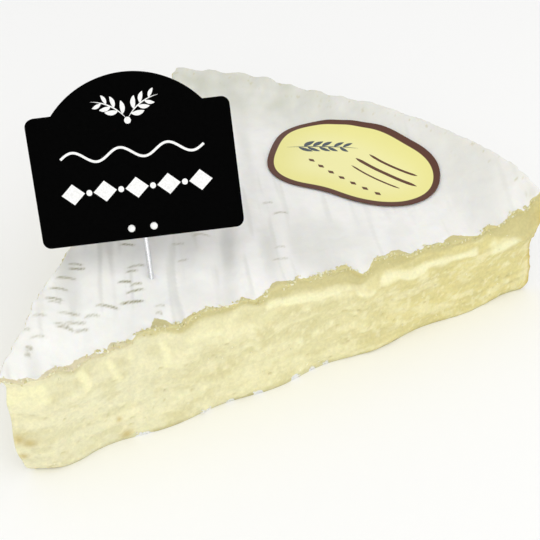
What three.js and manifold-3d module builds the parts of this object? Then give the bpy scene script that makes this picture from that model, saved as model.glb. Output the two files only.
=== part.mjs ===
// A wedge of soft cheese with a white bloomy rind, cut from a flat wheel. A paper label lies on the rind
// near the rim, and a small counter sign stands on a steel pin that is pushed into the paste.
// Millimetres, +Z up. The origin is on the flat base, at the centre of area of the wheel's sector.
// The front cut runs along +X and faces -Y. The sector itself is worked out from its tip.

import * as THREE from 'three';
import { mergeGeometries, mergeVertices } from 'three/addons/utils/BufferGeometryUtils.js';
import Module from 'manifold-3d';

const wasm = await Module();
wasm.setup();

const { clamp, degToRad, lerp, smoothstep } = THREE.MathUtils;
const FULL_TURN = 2 * Math.PI;

// Wedge: a plain sector of the wheel, whose faces are then shaped
const WHEEL_RADIUS = 160;
const WEDGE_ANGLE = degToRad(52);
const STOCK_HEIGHT = 33;

// Height of the rind over the base along each cut, as [share of the radius, height]
const FRONT_CROWN = [[0, 36], [0.1, 32], [0.26, 34.5], [0.5, 34], [0.72, 30.5], [0.89, 27.4], [1, 36]];
const BACK_CROWN = [[0, 36], [0.1, 36.5], [0.45, 36.5], [0.75, 34.5], [0.9, 33.2], [1, 36]];

// Change of that height round the rim, as [share of the turn from the front cut, rise]
const RIM_CROWN = [[0, 0], [0.1, 1.2], [0.25, 0.4], [0.45, -0.6], [0.66, -2.1], [0.8, -0.4], [1, 0]];
const RIM_CROWN_REACH = 40; // it fades out this far behind the rim

// How far each wall stands out from the plain sector, as [share of the height, offset]
const RIM_PROFILE = [[0, -4], [0.08, -1.8], [0.3, -1], [0.55, -1.7], [0.72, -0.4], [0.9, 1.8], [1, 0.6]];
const CUT_PROFILE = [[0, 0.4], [0.06, 0.9], [0.2, 0.7], [0.45, 0.4], [0.72, 1.3], [0.9, -0.7], [1, 0.2]];
const RIM_REACH = 16; // the shaping of a wall fades out this far behind it
const CUT_REACH = 8;
const LEDGE_SWAY = 0.45; // share by which the ledge under the rind swells and thins
const LEDGE_WAVES = 3.3; // swells along a cut
const BACK_PHASE = 2; // radians, so that the two cuts differ

// Bow of each cut face, as [share of the cut's length, offset]
const FRONT_BOW = [[0, 0.6], [0.05, 2], [0.11, 0.6], [0.2, 1.1], [0.5, 1.5], [0.85, 0.8], [1, 0]];
const BACK_BOW = [[0, 0.2], [0.08, 1.4], [0.18, 2], [0.3, 0.9], [0.42, 0.2], [0.7, 0.8], [1, 0]];

// The soft tip leans out at the top and draws in at the foot, as [share of the height, offset of both cuts]
const TIP_PROFILE = [
  [0, -3.6], [0.08, -1.2], [0.16, 0], [0.3, 1.6], [0.45, 1.4],
  [0.6, -0.4], [0.74, -0.6], [0.87, 0.7], [1, 2.4],
];
const TIP_REACH = 0.1; // share of a cut's length over which it fades out

// Furrows that the draining mat leaves in the rind, on the half towards the tip
const FURROW_DEPTH = 0.75;
const FURROW_SPACING = 13;
const FURROW_ACROSS = degToRad(-18); // direction across the furrows
const FURROW_SWAY = 0.9; // radians by which they wander
const FURROW_SWAY_LENGTH = 75;
const FURROW_BEAT = 47; // distance over which they swell and fade
const FURROW_FADE = 0.4; // share of the depth, each way from the mean
const FURROW_END = [70, 110]; // they fade out between these distances from the tip

// Ripples where the rind turns up at the rim
const RIPPLE_DEPTH = 0.4;
const RIPPLE_SPACING = 10;
const RIPPLE_REACH = 20;
const RIPPLE_START = [0.35, 0.7]; // they set in between these shares of the turn from the front cut

// Where the knife broke the edge of the rind, as [share of the cut's length, depth]
const FRONT_CHIPS = [[0.1, 1.2], [0.29, 1.6], [0.43, 2.6], [0.63, 3], [0.735, 1.8], [0.975, 3.4]];
const BACK_CHIPS = [[0.22, 0.7], [0.41, 1], [0.7, 1]];
const CHIP_WIDTH = 3.6;
const CHIP_REACH = 7;
const FRONT_CRAG = 0.4; // crumbling of the rind's edge between the chips
const BACK_CRAG = 0.15;
const CRAG_WAVES = [13, 21]; // crags of each size along a cut
const CRAG_HEIGHT = 0.1; // share of the height that they reach down
const FOOT_SWAY = 0.8; // lumps along the foot of every wall
const FOOT_WAVES = 5; // along a cut, and round the rim
const FOOT_HEIGHT = 0.12; // share of the height that they reach up
const FRONT_CUT = { bow: FRONT_BOW, phase: 0, crag: FRONT_CRAG };
const BACK_CUT = { bow: BACK_BOW, phase: BACK_PHASE, crag: BACK_CRAG };

// Mesh of the wedge
const SIDE_STEPS = 64; // along the rim and along each cut
const BASE_RINGS = [0.35, 0.7, 0.93];
const WALL_LEVELS = [0, 0.03, 0.09, 0.2, 0.33, 0.46, 0.58, 0.67, 0.75, 0.83, 0.91, 0.97, 1];

// Paper label: an uneven oval with a shallow dip on the side that faces the tip
const LABEL_CENTRE = [123.85, 47.47]; // from the tip
const LABEL_BEARING = degToRad(-69); // direction of its long axis
const LABEL_RADIUS = 24.4; // on average
const LABEL_WAVES = [[-0.2, -0.1], [4, 0.9], [1, 0.9], [0.2, -0.6], [-0.4, 0.5]]; // its cosine and sine parts
const LABEL_PAPER = 0.4;
const LABEL_POINTS = 56;
const LABEL_RINGS = [0.3, 0.55, 0.78, 1];

// Counter sign: a board with an arched top, two rivets and a pin with a flat crossbar
const SIGN_PLACE = [47, 19.1]; // where the pin goes in, from the tip
const SIGN_FACING = degToRad(-22.8); // turn about +Z from facing -Y
const SIGN_LEAN = degToRad(25); // it leans back
const SIGN_TILT = degToRad(2); // and a little to the side
const BOARD_WIDTH = 54;
const BOARD_HEIGHT = 34.7; // to the shoulders
const BOARD_ARCH_WIDTH = 40;
const BOARD_ARCH_HEIGHT = 9.4;
const BOARD_CORNER = 2.2;
const BOARD_THICKNESS = 2;
const BOARD_LIFT = 11; // from the rind to the board's lower edge
const PIN_RADIUS = 0.75;
const PIN_POINT = 5; // length of its tapered point
const PIN_DEPTH = 24; // length in the paste
const PIN_SIDES = 12;
const BAR_WIDTH = 11;
const BAR_HEIGHT = 5;
const BAR_THICKNESS = 1.6;
const BAR_BITE = 1; // the rod runs this far into the crossbar
const RIVET_SPACING = 6;
const RIVET_HEIGHT = 2.9; // above the board's lower edge
const RIVET_SHANK = 0.5; // radius
const RIVET_HEAD = 1;
const RIVET_DOME = 0.6;
const DOME_LEVELS = [0.85, 0.5]; // shares of the dome's height
const RIVET_SIDES = 14;
const ARC_STEPS = 10; // steps in each rounded corner and arc
const GAP = 0.3; // clearance between pieces that touch
const LABEL_GAP = 0.45; // the same, over the uneven rind
const WELD = 1e-4; // points closer than this are one

const wedgeMiddle = 4 * WHEEL_RADIUS * Math.sin(WEDGE_ANGLE / 2) / (3 * WEDGE_ANGLE);
const centreX = wedgeMiddle * Math.cos(WEDGE_ANGLE / 2);
const centreY = wedgeMiddle * Math.sin(WEDGE_ANGLE / 2);

// Looks
const RIND = { color: '#efeee6', roughness: 0.85, metalness: 0 };
const PAPER = { color: '#ece79b', roughness: 0.5, metalness: 0 };
const BLACKBOARD = { color: '#0a0a0b', roughness: 0.5, metalness: 0 };
const STEEL = { color: '#c9cacc', roughness: 0.25, metalness: 1 };
const WHITE_ENAMEL = { color: '#f1f1ef', roughness: 0.35, metalness: 0 };

// Value at s of a smooth curve through [place, value] stations.
function along(stations, s) {
  const last = stations.length - 1;
  const after = stations.findIndex(([place]) => place >= s);
  const high = clamp(after < 0 ? last : after, 1, last);
  const low = high - 1;
  const slope = (i) => {
    const [start, from] = stations[Math.max(i - 1, 0)];
    const [end, to] = stations[Math.min(i + 1, last)];
    return (to - from) / (end - start);
  };
  const [start, from] = stations[low];
  const [end, to] = stations[high];
  const span = end - start;
  const t = clamp((s - start) / span, 0, 1);
  const rise = t * t * (3 - 2 * t);
  const bend = slope(low) * t * (1 - t) * (1 - t) - slope(high) * t * t * (1 - t);
  return lerp(from, to, rise) + span * bend;
}

// Distances of a point of the sector from its faces, and how far along each cut it is.
function placeOf(x, y) {
  return {
    radius: Math.hypot(x, y),
    turn: clamp(Math.atan2(y, x) / WEDGE_ANGLE, 0, 1),
    fromFront: y,
    alongFront: x / WHEEL_RADIUS,
    fromBack: x * Math.sin(WEDGE_ANGLE) - y * Math.cos(WEDGE_ANGLE),
    alongBack: (x * Math.cos(WEDGE_ANGLE) + y * Math.sin(WEDGE_ANGLE)) / WHEEL_RADIUS,
  };
}

// Depth of the chips in the edge of the rind, at a distance behind one cut.
function chipped(chips, run, behind) {
  const near = 1 - smoothstep(behind, 0, CHIP_REACH);
  const width = CHIP_WIDTH / WHEEL_RADIUS;
  return near * chips.reduce((sum, [at, depth]) => sum + depth * Math.exp(-(((run - at) / width) ** 2)), 0);
}

// Height of the rind over the base: the crown with its change at the rim, less the chips, with the mat's
// furrows and the rim's ripples.
function crown(x, y) {
  const { radius, turn, fromFront, alongFront, fromBack, alongBack } = placeOf(x, y);
  const reach = Math.min(radius / WHEEL_RADIUS, 1);
  const height = lerp(along(FRONT_CROWN, reach), along(BACK_CROWN, reach), smoothstep(turn, 0, 1));
  const rise = along(RIM_CROWN, turn) * smoothstep(radius, WHEEL_RADIUS - RIM_CROWN_REACH, WHEEL_RADIUS);
  const chips = chipped(FRONT_CHIPS, alongFront, fromFront) + chipped(BACK_CHIPS, alongBack, fromBack);
  const across = x * Math.cos(FURROW_ACROSS) + y * Math.sin(FURROW_ACROSS);
  const onward = y * Math.cos(FURROW_ACROSS) - x * Math.sin(FURROW_ACROSS);
  const sway = FURROW_SWAY * Math.sin(FULL_TURN * onward / FURROW_SWAY_LENGTH);
  const beat = 1 - FURROW_FADE * (1 - Math.sin(FULL_TURN * across / FURROW_BEAT));
  const wave = Math.cos(FULL_TURN * across / FURROW_SPACING + sway);
  const furrow = beat * wave * (1 - smoothstep(x, ...FURROW_END));
  const arc = turn * WEDGE_ANGLE * WHEEL_RADIUS;
  const ripple = Math.sin(FULL_TURN * arc / RIPPLE_SPACING) * smoothstep(turn, ...RIPPLE_START)
    * smoothstep(radius, WHEEL_RADIUS - RIPPLE_REACH, WHEEL_RADIUS);
  return height + rise - chips + FURROW_DEPTH * furrow + RIPPLE_DEPTH * ripple;
}

// The lumps along the foot of a wall, at a share of its length and of its height.
function foot(run, share, phase) {
  return FOOT_SWAY * Math.sin(FULL_TURN * FOOT_WAVES * run + phase) * Math.exp(-((share / FOOT_HEIGHT) ** 2));
}

// How far a cut face stands out from its plane: its bow, the tip, the ledge under the rind, the crags of its
// edge and the lumps of its foot.
function cutRelief(run, share, { bow, phase, crag }) {
  const tip = along(TIP_PROFILE, share) * (1 - smoothstep(run, 0, TIP_REACH));
  const swell = 1 + LEDGE_SWAY * Math.sin(FULL_TURN * LEDGE_WAVES * run + phase);
  const ledge = along(CUT_PROFILE, share) * swell;
  const wave = (waves) => Math.sin(FULL_TURN * waves * run + phase * waves);
  const crags = CRAG_WAVES.reduce((sum, waves) => sum + wave(waves), 0);
  const torn = crag * crags * Math.exp(-(((1 - share) / CRAG_HEIGHT) ** 2));
  return along(bow, run) + tip + ledge + torn + foot(run, share, phase);
}

// Moves a point of the plain sector to its place on the cheese.
function shaped(x, y, z) {
  const share = z / STOCK_HEIGHT;
  const { radius, turn, fromFront, alongFront, fromBack, alongBack } = placeOf(x, y);
  const nearRim = smoothstep(radius, WHEEL_RADIUS - RIM_REACH, WHEEL_RADIUS);
  const rim = nearRim * (along(RIM_PROFILE, share) + foot(turn, share, 0));
  const nearFront = 1 - smoothstep(fromFront, 0, CUT_REACH);
  const nearBack = 1 - smoothstep(fromBack, 0, CUT_REACH);
  const front = nearFront * cutRelief(clamp(alongFront, 0, 1), share, FRONT_CUT);
  const back = nearBack * cutRelief(clamp(alongBack, 0, 1), share, BACK_CUT);
  const outward = radius > 0 ? rim / radius : 0;
  return new THREE.Vector3(
    x * (1 + outward) - back * Math.sin(WEDGE_ANGLE),
    y * (1 + outward) - front + back * Math.cos(WEDGE_ANGLE),
    share * crown(x, y),
  );
}

// A skin over rings of equal length, each anticlockwise from above, with a point before the first ring.
function skin(first, rings) {
  const count = rings[0].length;
  const faces = [];
  for (let i = 0; i < count; i += 1) {
    const next = (i + 1) % count;
    faces.push(0, 1 + next, 1 + i);
    for (let level = 0; level + 1 < rings.length; level += 1) {
      const low = 1 + level * count;
      const high = low + count;
      faces.push(low + i, low + next, high + next, low + i, high + next, high + i);
    }
  }
  return new THREE.BufferGeometry().setFromPoints([first, ...rings.flat()]).setIndex(faces);
}

// A fan that closes a ring at its upper side.
function lid(ring, last) {
  const faces = ring.flatMap((_, i) => [i, (i + 1) % ring.length, ring.length]);
  return new THREE.BufferGeometry().setFromPoints([...ring, last]).setIndex(faces);
}

// The geometries that close one form, as a solid that can be joined and cut.
function solid(...geometries) {
  const bare = geometries.map((geometry) => geometry.clone().deleteAttribute('normal').deleteAttribute('uv'));
  const merged = mergeVertices(mergeGeometries(bare), WELD);
  return new wasm.Manifold(new wasm.Mesh({
    numProp: 3,
    vertProperties: merged.attributes.position.array,
    triVerts: new Uint32Array(merged.index.array),
  }));
}

// A joined or cut solid as a geometry with facet normals.
function geometryOf(manifold) {
  const mesh = manifold.getMesh();
  const geometry = new THREE.BufferGeometry();
  geometry.setAttribute('position', new THREE.BufferAttribute(mesh.vertProperties, 3));
  geometry.setIndex(new THREE.BufferAttribute(mesh.triVerts, 1));
  const faceted = geometry.toNonIndexed();
  faceted.computeVertexNormals();
  return faceted;
}

function piece(name, geometry, look) {
  const mesh = new THREE.Mesh(geometry, new THREE.MeshStandardMaterial(look));
  mesh.name = name;
  return mesh;
}

// Plan position in the plain sector, at a number of steps out from the tip and a share of the turn.
function sectorPoint(step, turn) {
  const radius = WHEEL_RADIUS * step / SIDE_STEPS;
  return [radius * Math.cos(turn * WEDGE_ANGLE), radius * Math.sin(turn * WEDGE_ANGLE)];
}

// The outline of the plain sector, from the tip along the front cut, round the rim and down the back cut.
function sectorOutline() {
  const steps = Array.from({ length: SIDE_STEPS }, (_, i) => i);
  return [
    ...steps.map((i) => sectorPoint(i, 0)),
    ...steps.map((i) => sectorPoint(SIDE_STEPS, i / SIDE_STEPS)),
    ...steps.map((i) => sectorPoint(SIDE_STEPS - i, 1)),
  ];
}

// The rind on top, in rows of even triangles that grow longer from the tip to the rim.
function crownGeometry() {
  const points = [];
  const faces = [];
  for (let row = 0; row <= SIDE_STEPS; row += 1) {
    const start = row * (row + 1) / 2;
    const after = start + row + 1;
    for (let i = 0; i <= row; i += 1) {
      points.push(shaped(...sectorPoint(row, row > 0 ? i / row : 0), STOCK_HEIGHT));
      if (row < SIDE_STEPS) faces.push(start + i, after + i, after + i + 1);
      if (row < SIDE_STEPS && i < row) faces.push(start + i, after + i + 1, start + i + 1);
    }
  }
  return new THREE.BufferGeometry().setFromPoints(points).setIndex(faces);
}

function cheeseSolid() {
  const outline = sectorOutline();
  const ring = (scale, height) => outline.map(([x, y]) => shaped(
    lerp(centreX, x, scale),
    lerp(centreY, y, scale),
    height,
  ));
  const rings = [
    ...BASE_RINGS.map((scale) => ring(scale, 0)),
    ...WALL_LEVELS.map((share) => ring(1, share * STOCK_HEIGHT)),
  ];
  return solid(skin(shaped(centreX, centreY, 0), rings), crownGeometry());
}

// Plan position of a point of the label, at an angle round its centre and a share of the way to its edge.
function labelPoint(angle, scale) {
  const wave = ([cosine, sine], i) => cosine * Math.cos((i + 1) * angle) + sine * Math.sin((i + 1) * angle);
  const radius = scale * LABEL_WAVES.reduce((sum, parts, i) => sum + wave(parts, i), LABEL_RADIUS);
  return [
    LABEL_CENTRE[0] + radius * Math.cos(LABEL_BEARING + angle),
    LABEL_CENTRE[1] + radius * Math.sin(LABEL_BEARING + angle),
  ];
}

// The label follows the rind that it lies on.
function labelGeometry() {
  const onRind = (angle, scale, lift) => {
    const point = shaped(...labelPoint(angle, scale), STOCK_HEIGHT);
    point.z += lift;
    return point;
  };
  const ring = (scale, lift) => Array.from(
    { length: LABEL_POINTS },
    (_, i) => onRind(FULL_TURN * i / LABEL_POINTS - Math.PI, scale, lift),
  );
  const top = LABEL_GAP + LABEL_PAPER;
  const rings = [
    ...LABEL_RINGS.map((scale) => ring(scale, LABEL_GAP)),
    ...LABEL_RINGS.toReversed().map((scale) => ring(scale, top)),
  ];
  return geometryOf(solid(skin(onRind(0, 0, LABEL_GAP), rings), lid(rings.at(-1), onRind(0, 0, top))));
}

// A turned shape about +Z, from [radius, height] points that start and end on the axis.
function turned(profile, sides) {
  const points = profile.map(([radius, height]) => new THREE.Vector2(radius, height));
  return new THREE.LatheGeometry(points, sides).rotateX(Math.PI / 2);
}

// An outline in the sign's upright plane, thickened backwards from its front face.
function upright(outline, thickness, frontFace) {
  const settings = { depth: thickness, bevelEnabled: false, curveSegments: ARC_STEPS };
  const geometry = new THREE.ExtrudeGeometry(outline, settings);
  return geometry.rotateX(Math.PI / 2).translate(0, frontFace + thickness, 0);
}

function rivetHoles(outline, radius, height) {
  for (const side of [-1, 1]) {
    const hole = new THREE.Path().absarc(side * RIVET_SPACING / 2, height, radius, 0, FULL_TURN, true);
    outline.holes.push(hole);
  }
  return outline;
}

// Places in the sign's own frame: the pin's axis is its Z axis, and the board faces its -Y.
const barFront = -BAR_THICKNESS / 2;
const boardBack = barFront - GAP;
const boardFront = boardBack - BOARD_THICKNESS;
const rivetLevel = BOARD_LIFT + RIVET_HEIGHT;

function boardGeometry() {
  const half = BOARD_WIDTH / 2;
  const foot = BOARD_LIFT;
  const shoulder = BOARD_LIFT + BOARD_HEIGHT;
  const chord = BOARD_ARCH_WIDTH / 2;
  const archRadius = (chord ** 2 + BOARD_ARCH_HEIGHT ** 2) / (2 * BOARD_ARCH_HEIGHT);
  const archCentre = shoulder + BOARD_ARCH_HEIGHT - archRadius;
  const archSpread = Math.asin(chord / archRadius);
  const outline = new THREE.Shape();
  const corner = (x, z, from) => outline.absarc(x, z, BOARD_CORNER, from, from + Math.PI / 2, false);
  corner(half - BOARD_CORNER, foot + BOARD_CORNER, -Math.PI / 2);
  corner(half - BOARD_CORNER, shoulder - BOARD_CORNER, 0);
  outline.absarc(0, archCentre, archRadius, Math.PI / 2 - archSpread, Math.PI / 2 + archSpread, false);
  corner(BOARD_CORNER - half, shoulder - BOARD_CORNER, Math.PI / 2);
  corner(BOARD_CORNER - half, foot + BOARD_CORNER, Math.PI);
  return upright(rivetHoles(outline, RIVET_SHANK + GAP, rivetLevel), BOARD_THICKNESS, boardFront);
}

function pinGeometry() {
  const top = rivetLevel - BAR_HEIGHT / 2 + BAR_BITE;
  const point = PIN_POINT - PIN_DEPTH;
  const rod = turned([[0, -PIN_DEPTH], [PIN_RADIUS, point], [PIN_RADIUS, top], [0, top]], PIN_SIDES);
  const bar = new THREE.Shape();
  const end = (BAR_WIDTH - BAR_HEIGHT) / 2;
  bar.absarc(end, rivetLevel, BAR_HEIGHT / 2, -Math.PI / 2, Math.PI / 2, false);
  bar.absarc(-end, rivetLevel, BAR_HEIGHT / 2, Math.PI / 2, 3 * Math.PI / 2, false);
  const plate = upright(rivetHoles(bar, RIVET_SHANK + GAP, rivetLevel), BAR_THICKNESS, barFront);
  return geometryOf(solid(rod).add(solid(plate)));
}

// A rivet with a domed head in front of the board and a flat one behind the crossbar.
function rivetGeometry(side) {
  const front = boardFront - GAP;
  const behind = -barFront + GAP;
  const dome = DOME_LEVELS.map((share) => [
    RIVET_HEAD * Math.sqrt(1 - share ** 2),
    front - RIVET_DOME * share,
  ]);
  const profile = [
    [0, front - RIVET_DOME],
    ...dome,
    [RIVET_HEAD, front],
    [RIVET_SHANK, front],
    [RIVET_SHANK, behind],
    [RIVET_HEAD, behind],
    [RIVET_HEAD, behind + RIVET_DOME / 2],
    [0, behind + RIVET_DOME / 2],
  ];
  const place = [side * RIVET_SPACING / 2, 0, rivetLevel];
  return turned(profile, RIVET_SIDES).rotateX(-Math.PI / 2).translate(...place);
}

function signGroup() {
  const sign = new THREE.Group();
  sign.add(piece('sign_board', boardGeometry(), BLACKBOARD));
  sign.add(piece('sign_pin', pinGeometry(), STEEL));
  sign.add(piece('sign_rivet_left', rivetGeometry(-1), WHITE_ENAMEL));
  sign.add(piece('sign_rivet_right', rivetGeometry(1), WHITE_ENAMEL));
  sign.rotation.set(-SIGN_LEAN, -SIGN_TILT, SIGN_FACING, 'ZXY');
  sign.position.set(...SIGN_PLACE, crown(...SIGN_PLACE));
  sign.updateMatrix();
  return sign;
}

// The channel that the pin makes in the paste, in the sign's frame.
function pinChannel() {
  const radius = PIN_RADIUS + GAP;
  const foot = -PIN_DEPTH - GAP;
  return turned([[0, foot], [radius, foot + PIN_POINT], [radius, BOARD_LIFT], [0, BOARD_LIFT]], PIN_SIDES);
}

const sign = signGroup();
const channel = pinChannel().applyMatrix4(sign.matrix);
const cheese = geometryOf(cheeseSolid().subtract(solid(channel)));

const fromTip = new THREE.Group();
fromTip.position.set(-centreX, -centreY, 0);
fromTip.add(piece('cheese_wedge', cheese, RIND));
fromTip.add(piece('paper_label', labelGeometry(), PAPER));
fromTip.add(sign);

const part = new THREE.Group();
part.add(fromTip);

export default part;
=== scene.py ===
"""Dresses a wedge of soft cheese, its paper label and its counter sign, in the frame of the CAD part."""

import logging
import math
from dataclasses import dataclass, field
from enum import Enum
from itertools import product
from typing import Any

import bpy
import numpy as np
from mathutils import Matrix, Vector


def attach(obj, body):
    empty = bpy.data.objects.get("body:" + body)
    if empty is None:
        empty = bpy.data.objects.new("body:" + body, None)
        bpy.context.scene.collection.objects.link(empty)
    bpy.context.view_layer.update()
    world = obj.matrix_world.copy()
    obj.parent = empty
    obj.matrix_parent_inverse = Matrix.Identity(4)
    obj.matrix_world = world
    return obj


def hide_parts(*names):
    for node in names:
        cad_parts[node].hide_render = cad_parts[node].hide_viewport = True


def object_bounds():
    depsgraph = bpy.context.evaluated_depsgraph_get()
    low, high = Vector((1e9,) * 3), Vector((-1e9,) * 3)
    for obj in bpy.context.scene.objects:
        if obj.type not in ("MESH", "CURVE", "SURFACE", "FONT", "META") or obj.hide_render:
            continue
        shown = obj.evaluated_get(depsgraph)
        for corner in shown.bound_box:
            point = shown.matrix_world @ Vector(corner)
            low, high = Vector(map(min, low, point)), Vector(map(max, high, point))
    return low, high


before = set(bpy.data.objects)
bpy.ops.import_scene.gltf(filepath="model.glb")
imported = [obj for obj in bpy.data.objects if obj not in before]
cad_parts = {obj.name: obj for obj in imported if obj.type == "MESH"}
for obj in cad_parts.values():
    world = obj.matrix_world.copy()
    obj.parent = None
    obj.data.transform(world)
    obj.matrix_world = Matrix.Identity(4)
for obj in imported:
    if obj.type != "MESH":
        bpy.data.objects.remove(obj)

MM = 0.001
FULL_TURN = 2 * math.pi
CAD_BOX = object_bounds()
NOISE_RANGE = {"From Min": 0.3, "From Max": 0.7}
EDGE_ANGLE = math.radians(50)
INK = 0.02

logging.basicConfig(level=logging.INFO, format="%(message)s")
log = logging.getLogger("cheese")

Points = np.ndarray
Piece = bpy.types.Object
Tree = bpy.types.NodeTree
Material = bpy.types.Material
Pair = tuple[float, float]
Triple = tuple[float, float, float]
Stations = tuple[Pair, ...]
Spots = tuple[Triple, ...]


class Slot(Enum):
    """The finishes that the part's record names."""

    CHEESE = "cheese"
    LABEL = "label_paper"
    BOARD = "sign_black"
    STEEL = "steel"
    ENAMEL = "rivet_white"


class Cut(Enum):
    """The two knife cuts of the wedge, with a seed for the relief of each."""

    FRONT = 11
    BACK = 47


def linear(colour: str) -> tuple[float, ...]:
    """Turns an sRGB hex colour into linear light.

    Args:
        colour: six hex digits after a hash.

    Returns:
        Red, green, blue and an alpha of one.
    """
    parts = [int(colour[i : i + 2], 16) / 255 for i in (1, 3, 5)]
    red, green, blue = (p / 12.92 if p <= 0.04045 else ((p + 0.055) / 1.055) ** 2.4 for p in parts)
    return red, green, blue, 1.0


def smooth(value: Points, low: float, high: float) -> Points:
    """Eases from 0 at one value to 1 at another.

    Args:
        value: the values to ease.
        low: where the ease starts.
        high: where it ends.

    Returns:
        An array of values from 0 to 1.
    """
    share = np.clip((np.asarray(value, float) - low) / (high - low), 0, 1)
    return share * share * (3 - 2 * share)


def along(stations: Stations, places: Points) -> Points:
    """Reads a smooth curve through stations.

    Args:
        stations: pairs of place and value, in order.
        places: where to read it.

    Returns:
        The curve's value at each place.
    """
    spots, values = np.array(stations, float).T
    last = len(spots) - 1
    high = np.clip(np.searchsorted(spots, places), 1, last)
    low = high - 1
    before, after = np.maximum(np.arange(last + 1) - 1, 0), np.minimum(np.arange(last + 1) + 1, last)
    slopes = (values[after] - values[before]) / (spots[after] - spots[before])
    span = spots[high] - spots[low]
    share = np.clip((places - spots[low]) / span, 0, 1)
    rise = share * share * (3 - 2 * share)
    bend = slopes[low] * share * (1 - share) ** 2 - slopes[high] * share**2 * (1 - share)
    return values[low] + (values[high] - values[low]) * rise + span * bend


def lattice(cells: Points, seed: int) -> Points:
    """Gives each whole-numbered cell a repeatable value from -1 to 1.

    Args:
        cells: whole numbers, three to a row.
        seed: which set of values to use.

    Returns:
        One value for each row.
    """
    code = (cells @ np.array([374761393, 668265263, 1274126177]) + seed * 974634533) & 0xFFFFFFFF
    code = ((code ^ (code >> 13)) * 1274126177) & 0xFFFFFFFF
    return (code ^ (code >> 16)) / 0x7FFFFFFF - 1


def noise(points: Points, size: float | Triple, seed: int, octaves: int = 1) -> Points:
    """Gives smooth repeatable noise.

    Args:
        points: places in millimetres, three to a row.
        size: the width of a lump in millimetres, or one width for each axis.
        seed: which noise to use.
        octaves: how many sizes to add, each half as wide and half as strong as the last.

    Returns:
        One value for each point, about -1 to 1.
    """
    total = np.zeros(len(points))
    for octave in range(octaves):
        cells = points / (np.array(size) / 2**octave)
        base = np.floor(cells).astype(np.int64)
        part = cells - base
        ease = part * part * (3 - 2 * part)
        for corner in product((0, 1), repeat=3):
            weight = np.prod(np.where(corner, ease, 1 - ease), axis=1)
            total += weight * lattice(base + corner, seed + octave) / 2**octave
    return total


def add_node(
    tree: Tree, kind: str, inputs: dict[Any, Any] | None = None, **settings: Any
) -> bpy.types.Node:
    """Adds a node with its settings and links.

    Args:
        tree: the node tree.
        kind: the node's type name.
        inputs: a constant or another node's output for each named or numbered input.
        settings: the node's own properties.

    Returns:
        The new node.
    """
    node = tree.nodes.new(kind)
    for name, value in settings.items():
        setattr(node, name, value)
    for name, value in (inputs or {}).items():
        if isinstance(value, bpy.types.NodeSocket):
            tree.links.new(value, node.inputs[name])
        else:
            node.inputs[name].default_value = value
    return node


def new_material(name: str) -> tuple[Material, Tree]:
    """Makes an empty node material.

    Args:
        name: what the material is.

    Returns:
        The material and its node tree.
    """
    material = bpy.data.materials.new(name)
    material.use_nodes = True
    material.node_tree.nodes.clear()
    return material, material.node_tree


def surface(tree: Tree, inputs: dict[str, Any]) -> None:
    """Closes a material with one shader.

    Args:
        tree: the material's node tree.
        inputs: constants and links for the shader.
    """
    shader = add_node(tree, "ShaderNodeBsdfPrincipled", inputs)
    add_node(tree, "ShaderNodeOutputMaterial", {"Surface": shader.outputs["BSDF"]})


def deselect() -> None:
    """Leaves edit mode and selects nothing."""
    if bpy.context.mode != "OBJECT":
        bpy.ops.object.mode_set(mode="OBJECT")
    bpy.ops.object.select_all(action="DESELECT")


def activate(piece: Piece) -> None:
    """Selects one object and makes it the active one.

    Args:
        piece: the object.
    """
    deselect()
    piece.select_set(True)
    bpy.context.view_layer.objects.active = piece


def apply_modifier(piece: Piece, kind: str, **settings: Any) -> None:
    """Adds a modifier and applies it.

    Args:
        piece: the object to change.
        kind: the modifier's type name.
        settings: the modifier's own properties.
    """
    activate(piece)
    modifier = piece.modifiers.new(kind.title(), kind)
    for name, value in settings.items():
        setattr(modifier, name, value)
    bpy.ops.object.modifier_apply(modifier=modifier.name)


def join(name: str, pieces: list[Piece]) -> Piece:
    """Joins objects into one.

    Args:
        name: the name of the joined object.
        pieces: the objects, the first of which stays.

    Returns:
        The joined object.
    """
    deselect()
    for piece in pieces:
        piece.select_set(True)
    bpy.context.view_layer.objects.active = pieces[0]
    bpy.ops.object.join()
    pieces[0].name = pieces[0].data.name = name
    return pieces[0]


def settle(piece: Piece, name: str) -> Piece:
    """Moves an object's place into its mesh and names it.

    Args:
        piece: the object.
        name: its name.

    Returns:
        The same object.
    """
    activate(piece)
    bpy.ops.object.transform_apply(location=True, rotation=True, scale=True)
    piece.name = piece.data.name = name
    return piece


def read_points(piece: Piece) -> Points:
    """Reads a mesh's vertices.

    Args:
        piece: the object.

    Returns:
        Places in metres, three to a row.
    """
    flat = np.empty(3 * len(piece.data.vertices))
    piece.data.vertices.foreach_get("co", flat)
    return flat.reshape(-1, 3)


def write_points(piece: Piece, points: Points) -> None:
    """Moves a mesh's vertices to the given places, in metres."""
    piece.data.vertices.foreach_set("co", np.asarray(points, float).ravel())
    piece.data.update()


def write_values(piece: Piece, name: str, values: Points) -> None:
    """Stores a number, or a colour, at each vertex of a mesh.

    Args:
        piece: the object.
        name: the attribute's name.
        values: one number, or one red, green, blue and alpha, for each vertex.
    """
    kind, key = ("FLOAT", "value") if values.ndim == 1 else ("FLOAT_COLOR", "color")
    attribute = piece.data.attributes.new(name, kind, "POINT")
    attribute.data.foreach_set(key, np.asarray(values, float).ravel())


def mesh_piece(name: str, points: Points, faces: list[tuple[int, ...]]) -> Piece:
    """Makes an object from points and faces.

    Args:
        name: its name.
        points: places in metres, three to a row.
        faces: the points of each face, in order.

    Returns:
        The new object.
    """
    mesh = bpy.data.meshes.new(name)
    mesh.from_pydata([tuple(p) for p in points], [], faces)
    piece = bpy.data.objects.new(name, mesh)
    bpy.context.scene.collection.objects.link(piece)
    return piece


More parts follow.
